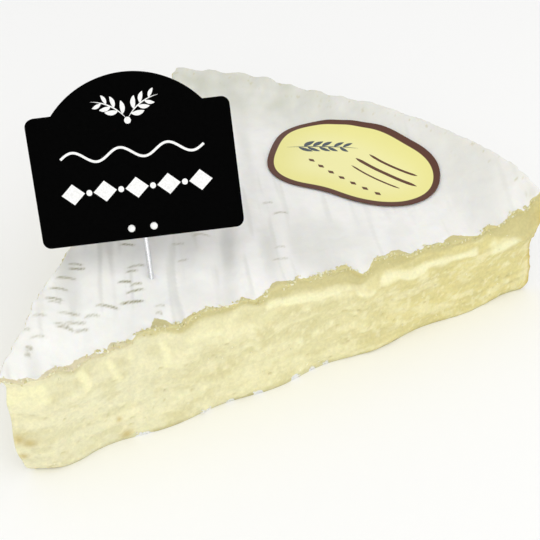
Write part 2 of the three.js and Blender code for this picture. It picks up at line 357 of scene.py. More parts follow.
def place(piece: Piece, slot: Slot, material: Material, *nodes: str) -> None:
    """Gives a piece its finish and fixes it to the part.

    Args:
        piece: the finished object.
        slot: the record's finish that it stands for; not used.
        material: what it is made of.
        nodes: the CAD nodes that it stands for.
    """
    piece.data.materials.clear()
    piece.data.materials.append(material)
    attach(piece, "root")
    if nodes:
        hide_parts(*nodes)
    log.info("%s: %d faces", piece.name, len(piece.data.polygons))


def in_box(points: Points) -> Points:
    """Keeps points, in metres, inside the part's own box."""
    low, high = (np.array(corner) for corner in CAD_BOX)
    return np.clip(points, low, high)


@dataclass(frozen=True)
class Sector:
    """The wheel's sector and the shape of its faces, in millimetres from the wedge's tip."""

    radius: float = 160
    angle: float = math.radians(52)
    height: float = 33
    front_crown: Stations = ((0, 36), (0.1, 32), (0.26, 34.5), (0.5, 34), (0.72, 30.5), (0.89, 27.4), (1, 36))
    back_crown: Stations = ((0, 36), (0.1, 36.5), (0.45, 36.5), (0.75, 34.5), (0.9, 33.2), (1, 36))
    rim_crown: Stations = ((0, 0), (0.1, 1.2), (0.25, 0.4), (0.45, -0.6), (0.66, -2.1), (0.8, -0.4), (1, 0))
    rim_crown_reach: float = 40
    rim_profile: Stations = (
        (0, -4), (0.08, -1.8), (0.3, -1), (0.55, -1.7), (0.72, -0.4), (0.9, 1.8), (1, 0.6),
    )
    cut_profile: Stations = (
        (0, 0.4), (0.06, 0.9), (0.2, 0.7), (0.45, 0.4), (0.72, 1.3), (0.9, -0.7), (1, 0.2),
    )
    rim_reach: float = 16
    cut_reach: float = 8
    front_bow: Stations = ((0, 0.6), (0.05, 2), (0.11, 0.6), (0.2, 1.1), (0.5, 1.5), (0.85, 0.8), (1, 0))
    back_bow: Stations = ((0, 0.2), (0.08, 1.4), (0.18, 2), (0.3, 0.9), (0.42, 0.2), (0.7, 0.8), (1, 0))
    tip_profile: Stations = (
        (0, -3.6), (0.08, -1.2), (0.16, 0), (0.3, 1.6), (0.45, 1.4), (0.6, -0.4), (0.74, -0.6), (0.87, 0.7),
        (1, 2.4),
    )
    tip_reach: float = 0.1
    ledge_sway: float = 0.45
    ledge_waves: float = 3.3
    back_phase: float = 2
    furrow_depth: float = 0.75
    furrow_spacing: float = 13
    furrow_across: float = math.radians(-18)
    furrow_sway: float = 0.9
    furrow_sway_length: float = 75
    furrow_beat: float = 47
    furrow_fade: float = 0.4
    furrow_end: Pair = (70, 110)
    ripple_depth: float = 0.4
    ripple_spacing: float = 10
    ripple_reach: float = 20
    ripple_start: Pair = (0.35, 0.7)
    front_chips: Stations = ((0.1, 1.2), (0.29, 1.6), (0.43, 2.6), (0.63, 3), (0.735, 1.8), (0.975, 3.4))
    back_chips: Stations = ((0.22, 0.7), (0.41, 1), (0.7, 1))
    chip_width: float = 3.6
    chip_reach: float = 7
    front_crag: float = 0.4
    back_crag: float = 0.15
    crag_waves: Pair = (13, 21)
    crag_height: float = 0.1
    foot_sway: float = 0.8
    foot_waves: float = 5
    foot_height: float = 0.12

    @property
    def centre(self) -> Points:
        """The sector's centre of area, which is the part's origin."""
        middle = 4 * self.radius * math.sin(self.angle / 2) / (3 * self.angle)
        return np.array([middle * math.cos(self.angle / 2), middle * math.sin(self.angle / 2), 0])

    def to_part(self, points: Points) -> Points:
        """Turns millimetres from the tip into metres in the part's frame."""
        return (points - self.centre) * MM

    def from_part(self, points: Points) -> Points:
        """Turns metres in the part's frame into millimetres from the tip."""
        return points / MM + self.centre

    def behind(self, cut: Cut, x: Points, y: Points) -> Points:
        """Measures how far points lie behind a cut.

        Args:
            cut: which cut.
            x: places along the front cut.
            y: places across it.

        Returns:
            Distances in millimetres.
        """
        if cut is Cut.FRONT:
            return y
        return x * math.sin(self.angle) - y * math.cos(self.angle)

    def run(self, cut: Cut, x: Points, y: Points) -> Points:
        """Measures how far points lie along a cut, from the tip.

        Args:
            cut: which cut.
            x: places along the front cut.
            y: places across it.

        Returns:
            Distances in millimetres.
        """
        if cut is Cut.FRONT:
            return x
        return x * math.cos(self.angle) + y * math.sin(self.angle)

    def outward(self, cut: Cut) -> Points:
        """Gives the direction that a cut faces.

        Args:
            cut: which cut.

        Returns:
            A unit vector.
        """
        if cut is Cut.FRONT:
            return np.array([0.0, -1.0, 0.0])
        return np.array([-math.sin(self.angle), math.cos(self.angle), 0.0])

    def turn(self, x: Points, y: Points) -> Points:
        """Gives the share of the turn from the front cut to the back cut."""
        return np.clip(np.arctan2(y, x) / self.angle, 0, 1)

    def chips(self, cut: Cut, x: Points, y: Points) -> Points:
        """Gives the depth of the chips that the knife broke from the edge of the rind.

        Args:
            cut: which cut.
            x: places along the front cut.
            y: places across it.

        Returns:
            Depths in millimetres.
        """
        near = 1 - smooth(self.behind(cut, x, y), 0, self.chip_reach)
        run = self.run(cut, x, y)
        chips = self.front_chips if cut is Cut.FRONT else self.back_chips
        return near * sum(d * np.exp(-(((run - at * self.radius) / self.chip_width) ** 2)) for at, d in chips)

    def furrows(self, x: Points, y: Points) -> Points:
        """Gives the draining mat's furrows.

        Args:
            x: places along the front cut.
            y: places across it.

        Returns:
            Values from -1 in a valley to 1 on a ridge.
        """
        across = x * math.cos(self.furrow_across) + y * math.sin(self.furrow_across)
        onward = y * math.cos(self.furrow_across) - x * math.sin(self.furrow_across)
        sway = self.furrow_sway * np.sin(FULL_TURN * onward / self.furrow_sway_length)
        beat = 1 - self.furrow_fade * (1 - np.sin(FULL_TURN * across / self.furrow_beat))
        wave = np.cos(FULL_TURN * across / self.furrow_spacing + sway)
        return beat * wave * (1 - smooth(x, *self.furrow_end))

    def crown(self, x: Points, y: Points) -> Points:
        """Gives the height of the rind over the base.

        Args:
            x: places along the front cut.
            y: places across it.

        Returns:
            Heights in millimetres.
        """
        radius, turn = np.hypot(x, y), self.turn(x, y)
        reach = np.minimum(radius / self.radius, 1)
        blend = smooth(turn, 0, 1)
        height = along(self.front_crown, reach) * (1 - blend) + along(self.back_crown, reach) * blend
        chips = self.chips(Cut.FRONT, x, y) + self.chips(Cut.BACK, x, y)
        arc = turn * self.angle * self.radius
        ripple = np.sin(FULL_TURN * arc / self.ripple_spacing) * smooth(turn, *self.ripple_start)
        ripple = ripple * smooth(radius, self.radius - self.ripple_reach, self.radius)
        rise = along(self.rim_crown, turn) * smooth(radius, self.radius - self.rim_crown_reach, self.radius)
        return height + rise - chips + self.furrow_depth * self.furrows(x, y) + self.ripple_depth * ripple

    def foot(self, run: Points, share: Points, phase: float) -> Points:
        """Gives the lumps along the foot of a face.

        Args:
            run: shares of the face's length.
            share: shares of the height.
            phase: where along the face the lumps start.

        Returns:
            Offsets in millimetres.
        """
        lumps = np.sin(FULL_TURN * self.foot_waves * run + phase)
        return self.foot_sway * lumps * np.exp(-((share / self.foot_height) ** 2))

    def cut_relief(self, cut: Cut, run: Points, share: Points) -> Points:
        """Gives how far a cut face stands out from its plane.

        Args:
            cut: which cut.
            run: shares of the cut's length from the tip.
            share: shares of the height.

        Returns:
            Offsets in millimetres.
        """
        front = cut is Cut.FRONT
        stations, phase = (self.front_bow, 0) if front else (self.back_bow, self.back_phase)
        bow = along(stations, run) + along(self.tip_profile, share) * (1 - smooth(run, 0, self.tip_reach))
        swell = 1 + self.ledge_sway * np.sin(FULL_TURN * self.ledge_waves * run + phase)
        crags = sum(np.sin(FULL_TURN * waves * run + phase * waves) for waves in self.crag_waves)
        reach = np.exp(-(((1 - share) / self.crag_height) ** 2))
        torn = (self.front_crag if front else self.back_crag) * crags * reach
        return bow + along(self.cut_profile, share) * swell + torn + self.foot(run, share, phase)

    def shaped(self, points: Points) -> Points:
        """Moves points of the plain sector to their places on the cheese.

        Args:
            points: places in the plain sector.

        Returns:
            Their places on the cheese.
        """
        x, y, z = points.T
        share = z / self.height
        radius = np.hypot(x, y)
        rim = along(self.rim_profile, share) + self.foot(self.turn(x, y), share, 0)
        rim = rim * smooth(radius, self.radius - self.rim_reach, self.radius)
        spread = 1 + rim / np.maximum(radius, 1e-6)
        moved = np.stack([x * spread, y * spread, share * self.crown(x, y)], axis=1)
        for cut in Cut:
            run = np.clip(self.run(cut, x, y) / self.radius, 0, 1)
            near = 1 - smooth(self.behind(cut, x, y), 0, self.cut_reach)
            moved += (near * self.cut_relief(cut, run, share))[:, None] * self.outward(cut)
        return moved


@dataclass(frozen=True)
class RindAndPaste:
    """White mould rind, felted and dry, over paste that is glossy where it has ripened and chalky inside.

    The rind scatters light softly with no highlight. The paste lets light in, so that its hollows stay warm.
    """

    tear_size: float = 1.3
    tear_depth: float = 0.55
    tear_blur: float = 0.15
    felt_size: float = 0.5
    curd_size: float = 0.9
    mottle_size: float = 5
    straw: str = "#8B8556"

    def material(self) -> Material:
        """Builds the material.

        Returns:
            A material that reads the colours and masks stored at the wedge's vertices.
        """
        material, tree = new_material("bloomy_rind_and_ripened_paste")
        spot = add_node(tree, "ShaderNodeTexCoord").outputs["Object"]
        noises = {
            name: add_node(
                tree,
                "ShaderNodeTexNoise",
                {"Vector": spot, "Scale": 1 / (size * MM), "Detail": detail, "Roughness": 0.6},
            ).outputs["Fac"]
            for name, size, detail in (
                ("tear", self.tear_size, 3.0),
                ("felt", self.felt_size, 3.0),
                ("curd", self.curd_size, 4.0),
                ("mottle", self.mottle_size, 4.0),
            )
        }
        stored = {
            name: add_node(tree, "ShaderNodeAttribute", attribute_name=name).outputs
            for name in ("rind_colour", "paste_colour", "rind_edge", "moist", "straw_marks")
        }
        ragged = add_node(
            tree,
            "ShaderNodeMath",
            {0: noises["tear"], 1: 2 * self.tear_depth, 2: stored["rind_edge"]["Fac"]},
            operation="MULTIPLY_ADD",
        )
        rind = add_node(
            tree,
            "ShaderNodeMapRange",
            {
                "Value": ragged.outputs[0],
                "From Min": self.tear_depth - self.tear_blur,
                "From Max": self.tear_depth + self.tear_blur,
            },
            interpolation_type="SMOOTHSTEP",
        ).outputs["Result"]
        flecked = {
            name: add_node(
                tree,
                "ShaderNodeMapRange",
                NOISE_RANGE | {"Value": noises[source], "To Min": low, "To Max": high},
            ).outputs["Result"]
            for name, source, low, high in (
                ("paste_colour", "curd", 0.92, 1.05),
                ("rind_colour", "mottle", 0.97, 1.02),
            )
        }
        colours = {
            name: add_node(
                tree,
                "ShaderNodeMix",
                {0: 1.0, 6: stored[name]["Color"], 7: flecked[name]},
                data_type="RGBA",
                blend_type="MULTIPLY",
            ).outputs[2]
            for name in ("paste_colour", "rind_colour")
        }
        broken = add_node(
            tree,
            "ShaderNodeMapRange",
            {"Value": noises["tear"], "From Min": 0.35, "From Max": 0.6, "To Min": 0.7, "To Max": 1.25},
        ).outputs["Result"]
        marks = add_node(
            tree, "ShaderNodeMath", {0: stored["straw_marks"]["Fac"], 1: broken}, operation="MULTIPLY"
        ).outputs[0]
        marked = add_node(
            tree,
            "ShaderNodeMix",
            {0: marks, 6: colours["rind_colour"], 7: linear(self.straw)},
            data_type="RGBA",
        ).outputs[2]
        colour = add_node(
            tree, "ShaderNodeMix", {0: rind, 6: colours["paste_colour"], 7: marked}, data_type="RGBA"
        ).outputs[2]
        paste_rough = add_node(
            tree, "ShaderNodeMapRange", {"Value": stored["moist"]["Fac"], "To Min": 0.7, "To Max": 0.38}
        ).outputs["Result"]
        rough = add_node(tree, "ShaderNodeMix", {0: rind, 2: paste_rough, 3: 0.9}).outputs[0]
        grain = add_node(tree, "ShaderNodeMix", {0: rind, 2: noises["curd"], 3: noises["felt"]}).outputs[0]
        bump = add_node(tree, "ShaderNodeBump", {"Height": grain, "Strength": 0.35, "Distance": 0.25 * MM})
        surface(
            tree,
            {
                "Base Color": colour,
                "Roughness": rough,
                "IOR": 1.45,
                "Normal": bump.outputs["Normal"],
                "Subsurface Weight": 0.3,
                "Subsurface Radius": (3.0, 2.2, 1.1),
                "Subsurface Scale": 1.0 * MM,
            },
        )
        return material


@dataclass(frozen=True)
class CheeseColours:
    """The colours of the rind and of the paste, from the rind inwards, some of which stand in part for
    painted shade and painted highlights.
    """

    bloom: str = "#F2F1ED"
    bloom_tip: str = "#F6F6F1"
    # furrow: the rind's own grey streaks, and also painted shade in the valleys of the mat's furrows.
    furrow_grey_and_shade: str = "#DADAD4"
    rim: str = "#D0D1C4"
    rim_spot: str = "#C4BD8B"
    core: str = "#E2DCAE"
    core_tip: str = "#E3DFBB"
    core_rim: str = "#DCD293"
    # dry: the darker straw of the paste's clouds and streaks, and also painted shade in the band under the
    # rind's edge.
    dry: str = "#CBC28A"
    blush: str = "#D8CEB2"
    # cream: the pale colour of the curds, and also a painted highlight on the ripened ridges under the rind.
    cream: str = "#EEEABF"
    curd: str = "#F1ECC4"
    # pit: painted shade in the pits, and also the darker line along the foot of the cut faces.
    pit_shade_and_foot_line: str = "#C4B97E"
    tan: str = "#BFA95F"


@dataclass
class CheeseWedge:
    """The wedge itself: rind on top, round the rim and below, and two cut faces of paste.

    Places on a cut face are given as the distance along it and the depth under the rind, in millimetres.
    They are those of the front cut, and the back cut has them the other way round.
    """

    sector: Sector = field(default_factory=Sector)
    colours: CheeseColours = field(default_factory=CheeseColours)
    finish: RindAndPaste = field(default_factory=RindAndPaste)
    voxel: float = 0.57
    wheel_sides: int = 360
    tear: float = 0.7
    tears: Stations = ((19, 1.2), (41.5, 3), (77, 1.8), (114, 1.6), (132, 1.6))
    tear_half: float = 2.8
    pits: int = 130
    pit_length: Pair = (0.35, 1.1)
    pit_height: Pair = (0.25, 0.5)
    pit_depth: Pair = (0.15, 0.5)
    lip_depth: Stations = (
        (0, 1.2), (33, 1.4), (44, 2.8), (57, 3.8), (70, 3.2), (82, 4.5), (95, 5.3), (108, 4.8), (122, 3.3),
        (142, 3.8), (150, 8.5), (160, 15),
    )
    lip_step: float = 0.9
    cream_rise: float = 0.75
    curd_rise: float = 0.35
    smear_rise: float = 0.22
    crumb_rise: float = 0.08
    core_crumb_rise: float = 0.12
    torn_rise: float = 0.5
    foot_rise: float = 0.35
    streak_rise: float = 0.3
    bloom_rise: float = 0.13
    edge_waves: float = 0.35
    edge_crumble: float = 0.45
    pin_dimple: float = 0.5
    fold_rise: float = 0.35
    pimple_rise: float = 0.25
    cream_runs: tuple[tuple[float, ...], ...] = (
        (0.5, 6.8, 7, 5.5, 3.6, 0.95), (9, 5, 18, 5, 2.2, 0.5), (18, 4, 19.5, 8, 1.5, 0.8),
        (26.5, 5, 28, 10, 1.6, 0.9), (41, 4.5, 42.5, 11, 1.8, 0.75), (48, 6.5, 57, 7.5, 1.7, 0.6),
        (73, 4.6, 96, 7.2, 1.5, 0.85), (99, 7.8, 103, 8.4, 1.7, 0.85), (107, 7.4, 138, 7.2, 1.6, 1),
        (145, 9, 152, 10, 2.8, 0.7),
    )
    curds: Spots = (
        (70.6, 17.6, 1.1), (80, 20.2, 1.3), (85.5, 19.2, 1.5), (90.4, 17.6, 1.2), (71.7, 27.3, 1),
        (97.9, 15.6, 1), (83.3, 10, 0.9), (58.8, 9.8, 0.9), (61, 15.5, 0.8), (67.6, 16.5, 1),
        (32.4, 5.4, 0.9), (43.5, 24, 0.8),
    )
    stains: Spots = (
        (1.4, 19.7, 1.4), (3.3, 21, 1.4), (1.2, 25.5, 1), (26.1, 24.2, 0.8), (27.5, 30.6, 1.8),
    )
    foot_flecks: Stations = ((32, 2.2), (51, 1.7), (58, 1.1), (67, 1.7), (78, 1), (84, 1), (88.7, 0.8))
    straws: tuple[tuple[float, ...], ...] = (
        (30.9, 33.3, 1.7, 0.6), (30.5, 31.3, 1.8, 0.8), (26.8, 28.2, 2, 0.75), (23.6, 24.4, 1.8, 0.75),
        (21.1, 20.5, 1.7, 0.7), (20.8, 19.3, 1.2, 0.5), (15.7, 15.6, 1.5, 0.4), (11.5, 12.4, 1, 0.5),
        (46.1, 35, 2, 0.85), (44.8, 24.7, 2.4, 0.65), (43, 23.3, 1.6, 0.6), (39.7, 20.2, 1.8, 1),
        (42, 17.5, 1.6, 0.7), (40.8, 15.1, 2.4, 0.85), (38.5, 11.4, 3.2, 1), (32, 12.9, 2.9, 0.8),
        (22.5, 14.8, 2.6, 0.55), (27.2, 11.5, 2.2, 0.5), (19.3, 11.7, 1.8, 0.5), (22.8, 11.4, 2.6, 0.6),
        (19.6, 10.5, 2.2, 0.6), (23.3, 8.7, 1.8, 0.6), (12.7, 9.1, 1.6, 0.35), (43.3, 4.6, 1, 0.55),
        (44.6, 6.8, 1.4, 0.35), (57.3, 21.5, 1.5, 0.4), (66.1, 29.1, 2.4, 0.4), (59, 29.3, 1.8, 0.35),
        (91.6, 30.2, 2.2, 0.5), (90.6, 36.7, 1.6, 0.45), (81.4, 9.5, 2.2, 0.35), (83.9, 14.6, 1.6, 0.3),
        (9.8, 6.7, 0.6, 0.7), (8.9, 5.4, 0.6, 0.6),
    )
    straw_bearing: float = math.radians(-23.6)
    straw_half: float = 0.38
    straw_bow: float = 0.35
    straw_swing: float = math.radians(6)
    pin_hole: Pair = (47, 19.1)
    label_middle: Pair = (123.85, 47.47)
    label_radius: float = 30
    plain: Points = field(init=False, repr=False)
    moved: Points = field(init=False, repr=False)

    def block(self) -> Piece:
        """Cuts a plain sector from a wheel and gives it an even skin.

        Returns:
            The sector as a mesh of small even faces.
        """
        s = self.sector
        deselect()
        tip = s.to_part(np.zeros((1, 3)))[0]
        middle = tip + np.array([0, 0, s.height / 2 * MM])
        bpy.ops.mesh.primitive_cylinder_add(
            vertices=self.wheel_sides, radius=s.radius * MM, depth=s.height * MM, location=middle
        )
        block = settle(bpy.context.object, "cheese_wedge_dressed")
        bpy.ops.object.mode_set(mode="EDIT")
        for cut in Cut:
            bpy.ops.mesh.select_all(action="SELECT")
            bpy.ops.mesh.bisect(plane_co=tip, plane_no=s.outward(cut), use_fill=True, clear_outer=True)
        bpy.ops.mesh.select_all(action="SELECT")
        bpy.ops.mesh.normals_make_consistent(inside=False)
        bpy.ops.object.mode_set(mode="OBJECT")
        apply_modifier(block, "REMESH", mode="VOXEL", voxel_size=self.voxel * MM)
        return block

    def face_run(self, cut: Cut, run: Points) -> Points:
        """Turns distances along a cut into those of the listed places."""
        return run if cut is Cut.FRONT else self.sector.radius - run

    def listed(self, spots: Spots, run: Points, under: Points) -> Points:
        """Gives how near points of a cut face lie to listed round spots.

        Args:
            spots: the distance along the cut, the depth and the half width of each.
            run: distances along the cut.
            under: depths under the rind.

        Returns:
            Values from 0 to 1 in the middle of a spot.
        """
        near = (np.exp(-(((run - at) ** 2 + (under - deep) ** 2) / half**2)) for at, deep, half in spots)
        return np.max(np.stack(list(near)), axis=0)

    def pitted(self, run: Points, height: Points, seed: int) -> Points:
        """Scatters small flat pits over a cut face.

        Args:
            run: distances along the cut.
            height: heights over the base.
            seed: which scatter to use.

        Returns:
            The depth of the pits at each point, in millimetres.
        """
        draw = np.random.default_rng(seed)
        depth = np.zeros(len(run))
        for _ in range(self.pits):
            at, level = draw.uniform(1, self.sector.radius - 2), draw.uniform(1, self.sector.height * 0.74)
            half, rise = draw.uniform(*self.pit_length), draw.uniform(*self.pit_height)
            inside = 1 - ((run - at) / half) ** 2 - ((height - level) / rise) ** 2
            depth = np.maximum(depth, draw.uniform(*self.pit_depth) * np.clip(inside, 0, 1))
        return depth

    def cream(self, cut: Cut, run: Points, under: Points) -> Points:
        """Gives where the ripened paste under the rind has run into soft bright ridges and drips.

        Args:
            cut: which cut.
            run: distances along the cut.
            under: depths under the rind.

        Returns:
            Values from 0 to 1.
        """
        where = np.stack([run, np.zeros_like(run), under], axis=1)
        here = np.stack([self.face_run(cut, run), under], axis=1)
        here = here + 0.9 * np.stack([noise(where, 6, cut.value + k, 2) for k in (1, 2)], axis=1)
        ridge = np.zeros(len(run))
        for start_run, start_under, end_run, end_under, half, strength in self.cream_runs:
            start = np.array([start_run, start_under])
            line = np.array([end_run, end_under]) - start
            share = np.clip((here - start) @ line / (line @ line), 0, 1)
            away = np.linalg.norm(here - start - share[:, None] * line, axis=1)
            ridge = np.maximum(ridge, strength * np.exp(-((away / half) ** 2)))
        return np.clip(ridge * (0.9 + 0.35 * noise(where, (5, 1, 2.6), cut.value + 4, 2)), 0, 1)

    def lip(self, cut: Cut, run: Points, under: Points) -> Points:
        """Gives the lip of paste under the rind, which grows deep towards the rim. Its darker straw colour is
        partly the paste's own and partly painted shade under the rind's edge.

        Args:
            cut: which cut.
            run: distances from the tip.
            under: depths under the rind.

        Returns:
            Values from 0 to 1.
        """
        where = np.stack([run, np.full_like(run, cut.value), np.zeros_like(run)], axis=1)
        deep = along(self.lip_depth, run) + 0.7 * noise(where, 7, 87, 3)
        return 1 - smooth(under, deep - 1.1, deep + 0.6)

    def cut_detail(self, cut: Cut, plain: Points) -> tuple[Points, Points, Points]:
        """Works out the fine relief of a cut face.

        Args:
            cut: which cut.
            plain: points of the plain sector, near that cut.

        Returns:
            The relief, the depth of its pits, and its cream mask.
        """
        s = self.sector
        x, y, z = plain.T
        run, under = s.run(cut, x, y), s.height - z
        flat = np.stack([run, np.zeros_like(run), z], axis=1)
        core = smooth(under, 6, 11)
        pits = self.pitted(run, z, cut.value) * core
        cream = self.cream(cut, run, under)
        curds = self.listed(self.curds, self.face_run(cut, run), under)
        smear = noise(flat, (16, 1, 2.2), cut.value + 5, 2)
        crumb = noise(flat, (2.2, 1, 1.6), cut.value + 6, 3)
        torn = noise(flat, (2.2, 1, 1.8), cut.value + 7, 3) * np.exp(-((under / 2.2) ** 2))
        foot = noise(flat, (3.4, 1, 2), cut.value + 8, 2) * np.exp(-((z / 2.2) ** 2))
        step = self.lip_step * self.lip(cut, run, under) * smooth(run, 140, s.radius - 6)
        relief = self.cream_rise * cream + self.curd_rise * curds + self.smear_rise * smear * core
        relief += (self.crumb_rise + self.core_crumb_rise * core) * crumb
        relief += self.torn_rise * torn + self.foot_rise * foot + step - pits
        return relief * smooth(np.hypot(x, y), 1, 9), pits, cream

    def on_mat(self, plain: Points) -> Points:
        """Gives places across and along the furrows of the draining mat.

        Args:
            plain: points of the plain sector.

        Returns:
            Distances across and along them, and a third of 0.
        """
        cos, sin = math.cos(self.sector.furrow_across), math.sin(self.sector.furrow_across)
        return np.column_stack([plain[:, :2] @ np.array([[cos, -sin], [sin, cos]]), np.zeros(len(plain))])

    def top_detail(self, plain: Points) -> Points:
        """Works out the fine relief of the rind on top.

        Args:
            plain: points of the plain sector.

        Returns:
            How far the rind stands over the smooth crown, in millimetres.
        """
        s = self.sector
        x, y, _ = plain.T
        streaks = noise(self.on_mat(plain), (4, 26, 1), 5, 2) * (0.3 + 0.7 * (1 - smooth(x, *s.furrow_end)))
        bloom = noise(plain, (2.4, 2.4, 9), 6, 3)
        under_label = np.hypot(x - self.label_middle[0], y - self.label_middle[1])
        clear = 0.15 + 0.85 * smooth(under_label, self.label_radius - 6, self.label_radius)
        edge = np.zeros(len(plain))
        for cut, strength in ((Cut.FRONT, 1), (Cut.BACK, 0.25)):
            run = np.stack([s.run(cut, x, y), np.zeros_like(x), np.zeros_like(x)], axis=1)
            ragged = self.edge_waves * noise(run, 4.2, cut.value + 20, 2)
            ragged += self.edge_crumble * noise(plain, (1.7, 1.7, 9), cut.value + 21, 2)
            edge += strength * ragged * np.exp(-((s.behind(cut, x, y) / 2) ** 2))
        from_pin = np.hypot(x - self.pin_hole[0], y - self.pin_hole[1])
        dimple = np.exp(-((from_pin / 1.6) ** 2))
        felt = self.streak_rise * streaks + self.bloom_rise * bloom
        return clear * felt + edge - self.pin_dimple * dimple

    def rim_detail(self, plain: Points) -> Points:
        """Works out the wrinkles of the rind round the rim.

        Args:
            plain: points of the plain sector.

        Returns:
            How far they stand out, in millimetres.
        """
        x, y, z = plain.T
        arc = np.arctan2(y, x) * self.sector.radius
        flat = np.stack([arc, np.zeros_like(arc), z], axis=1)
        folds, pimples = noise(flat, (4, 1, 12), 31, 2), noise(flat, (2.2, 1, 2.2), 32, 3)
        return self.fold_rise * folds + self.pimple_rise * pimples

    def detailed(self, plain: Points) -> tuple[Points, Points, Points]:
        """Moves points of the plain sector to their places on the finished wedge.

        Args:
            plain: points of the plain sector.

        Returns:
            Their places in millimetres from the tip, the pits and the cream mask.
        """
        s = self.sector
        x, y, z = plain.T
        moved = s.shaped(plain)
        pits, cream = np.zeros(len(plain)), np.zeros(len(plain))
        for cut in Cut:
            close = np.flatnonzero(s.behind(cut, x, y) < 2.5)
            relief, dents, ridge = self.cut_detail(cut, plain[close])
            near = 1 - smooth(s.behind(cut, x[close], y[close]), 0.3, 2.5)
            lift = np.minimum(1, z[close] / 0.8)
            moved[close] += (near * lift * relief)[:, None] * s.outward(cut)
            pits[close] = np.maximum(pits[close], dents * near)
            cream[close] = np.maximum(cream[close], ridge * near)
        moved[:, 2] += self.top_detail(plain) * smooth(z, s.height - 3, s.height - 0.2)
        radius = np.hypot(x, y)
        outer = self.rim_detail(plain) * smooth(radius, s.radius - 3, s.radius - 0.3) * np.minimum(1, z / 1.5)
        moved[:, :2] += (outer / np.maximum(radius, 1e-6))[:, None] * plain[:, :2]
        moved[:, 2] = np.maximum(moved[:, 2], 0)
        return moved, pits, cream

    def nearest_cut(self, plain: Points) -> tuple[Points, Points]:
        """Finds which cut each point is nearer to.

        Args:
            plain: points of the plain sector.

        Returns:
            Whether it is the front cut, and the distance along it as the listed places have it.
        """
        s = self.sector
        x, y, _ = plain.T
        front = s.behind(Cut.FRONT, x, y) <= s.behind(Cut.BACK, x, y)
        runs = [self.face_run(cut, s.run(cut, x, y)) for cut in Cut]
        return front, np.where(front, runs[0], runs[1])

    def rind_edge(self, plain: Points) -> Points:
        """Measures how far points lie from the torn edge of the rind.

        Args:
            plain: points of the plain sector.

        Returns:
            Distances in millimetres, above 0 on the rind and below 0 on the paste.
        """
        s = self.sector
        x, y, z = plain.T
        front, run = self.nearest_cut(plain)
        behind = np.minimum(*(s.behind(cut, x, y) for cut in Cut))
        under = np.minimum(np.minimum(s.height - z, z), s.radius - np.hypot(x, y))
        torn = self.tear * (1 + noise(plain, (2.6, 2.6, 30), 61, 3))
        torn += sum(extra * np.exp(-(((run - at) / self.tear_half) ** 2)) for at, extra in self.tears)
        torn *= np.where(front, 1, 0.15) * smooth(z, s.height * 0.5, s.height)
        flecks = sum(np.exp(-(((run - at) / half) ** 2)) for at, half in self.foot_flecks)
        flecks = 3.4 * flecks * (1 + 0.7 * noise(plain, (2, 2, 60), 62, 2)) - 0.9
        return behind - under - torn + flecks * (1 - smooth(z, 0.6, 3.4))

    def rind_colour(self, plain: Points) -> Points:
        """Works out the colour of the rind at each point.

        Args:
            plain: points of the plain sector.

        Returns:
            Linear red, green, blue and alpha.
        """
        s, c = self.sector, self.colours
        x, y, z = plain.T
        mat = self.on_mat(plain)
        shade = np.tile(linear(c.bloom), (len(plain), 1))
        shade = blended(shade, c.bloom_tip, 1 - smooth(x, 25, 75))
        # Grey bands and lines along the mat's furrows: partly the rind's own grey streaks and partly painted
        # shade in the furrow valleys, fading towards the rim end.
        wear_and_shade_fade = 1 - 0.55 * smooth(x, 75, 125)
        bands = smooth(noise(mat, (8, 40, 1), 71, 2) - 0.35 * s.furrows(x, y), 0, 0.85)
        lines = smooth(noise(mat, (1.8, 30, 1), 74, 2), 0.3, 0.8)
        shade = blended(shade, c.furrow_grey_and_shade, wear_and_shade_fade * np.maximum(0.75 * bands, 0.6 * lines))
        radius = np.hypot(x, y)
        far = smooth(radius, s.radius - 34, s.radius - 4) * (0.25 + 0.75 * smooth(s.turn(x, y), 0.25, 0.8))
        shade = blended(shade, c.rim, far * (0.75 + 0.25 * noise(plain, 6, 72, 2)))
        spots = smooth(noise(plain, 1.2, 73, 2), 0.6, 0.85) * smooth(radius, s.radius - 9, s.radius - 2)
        return blended(shade, c.rim_spot, 0.5 * spots)

    def straw_marks(self, plain: Points) -> Points:
        """Draws the short stains that straws of the draining mat left on the rind.

        Args:
            plain: points of the plain sector.

        Returns:
            How dark the stain is, from 0 to 1.
        """
        stain = np.zeros(len(plain))
        for x, y, half, strength in self.straws:
            bearing = self.straw_bearing + self.straw_swing * math.sin(x * y)
            ahead, left = (np.array([math.cos(a), math.sin(a)]) for a in (bearing, bearing + math.pi / 2))
            away = plain[:, :2] - (x, y)
            close = np.flatnonzero(np.abs(away).max(axis=1) < half + 3)
            onward, across = away[close] @ ahead, away[close] @ left
            bowed = (across - self.straw_bow * (1 - (onward / half) ** 2)) / self.straw_half
            dark = strength * (1 - smooth(np.abs(onward), 0.6 * half, 1.25 * half)) * np.exp(-(bowed**2))
            stain[close] = np.maximum(stain[close], dark)
        return stain * smooth(plain[:, 2], self.sector.height - 2, self.sector.height)

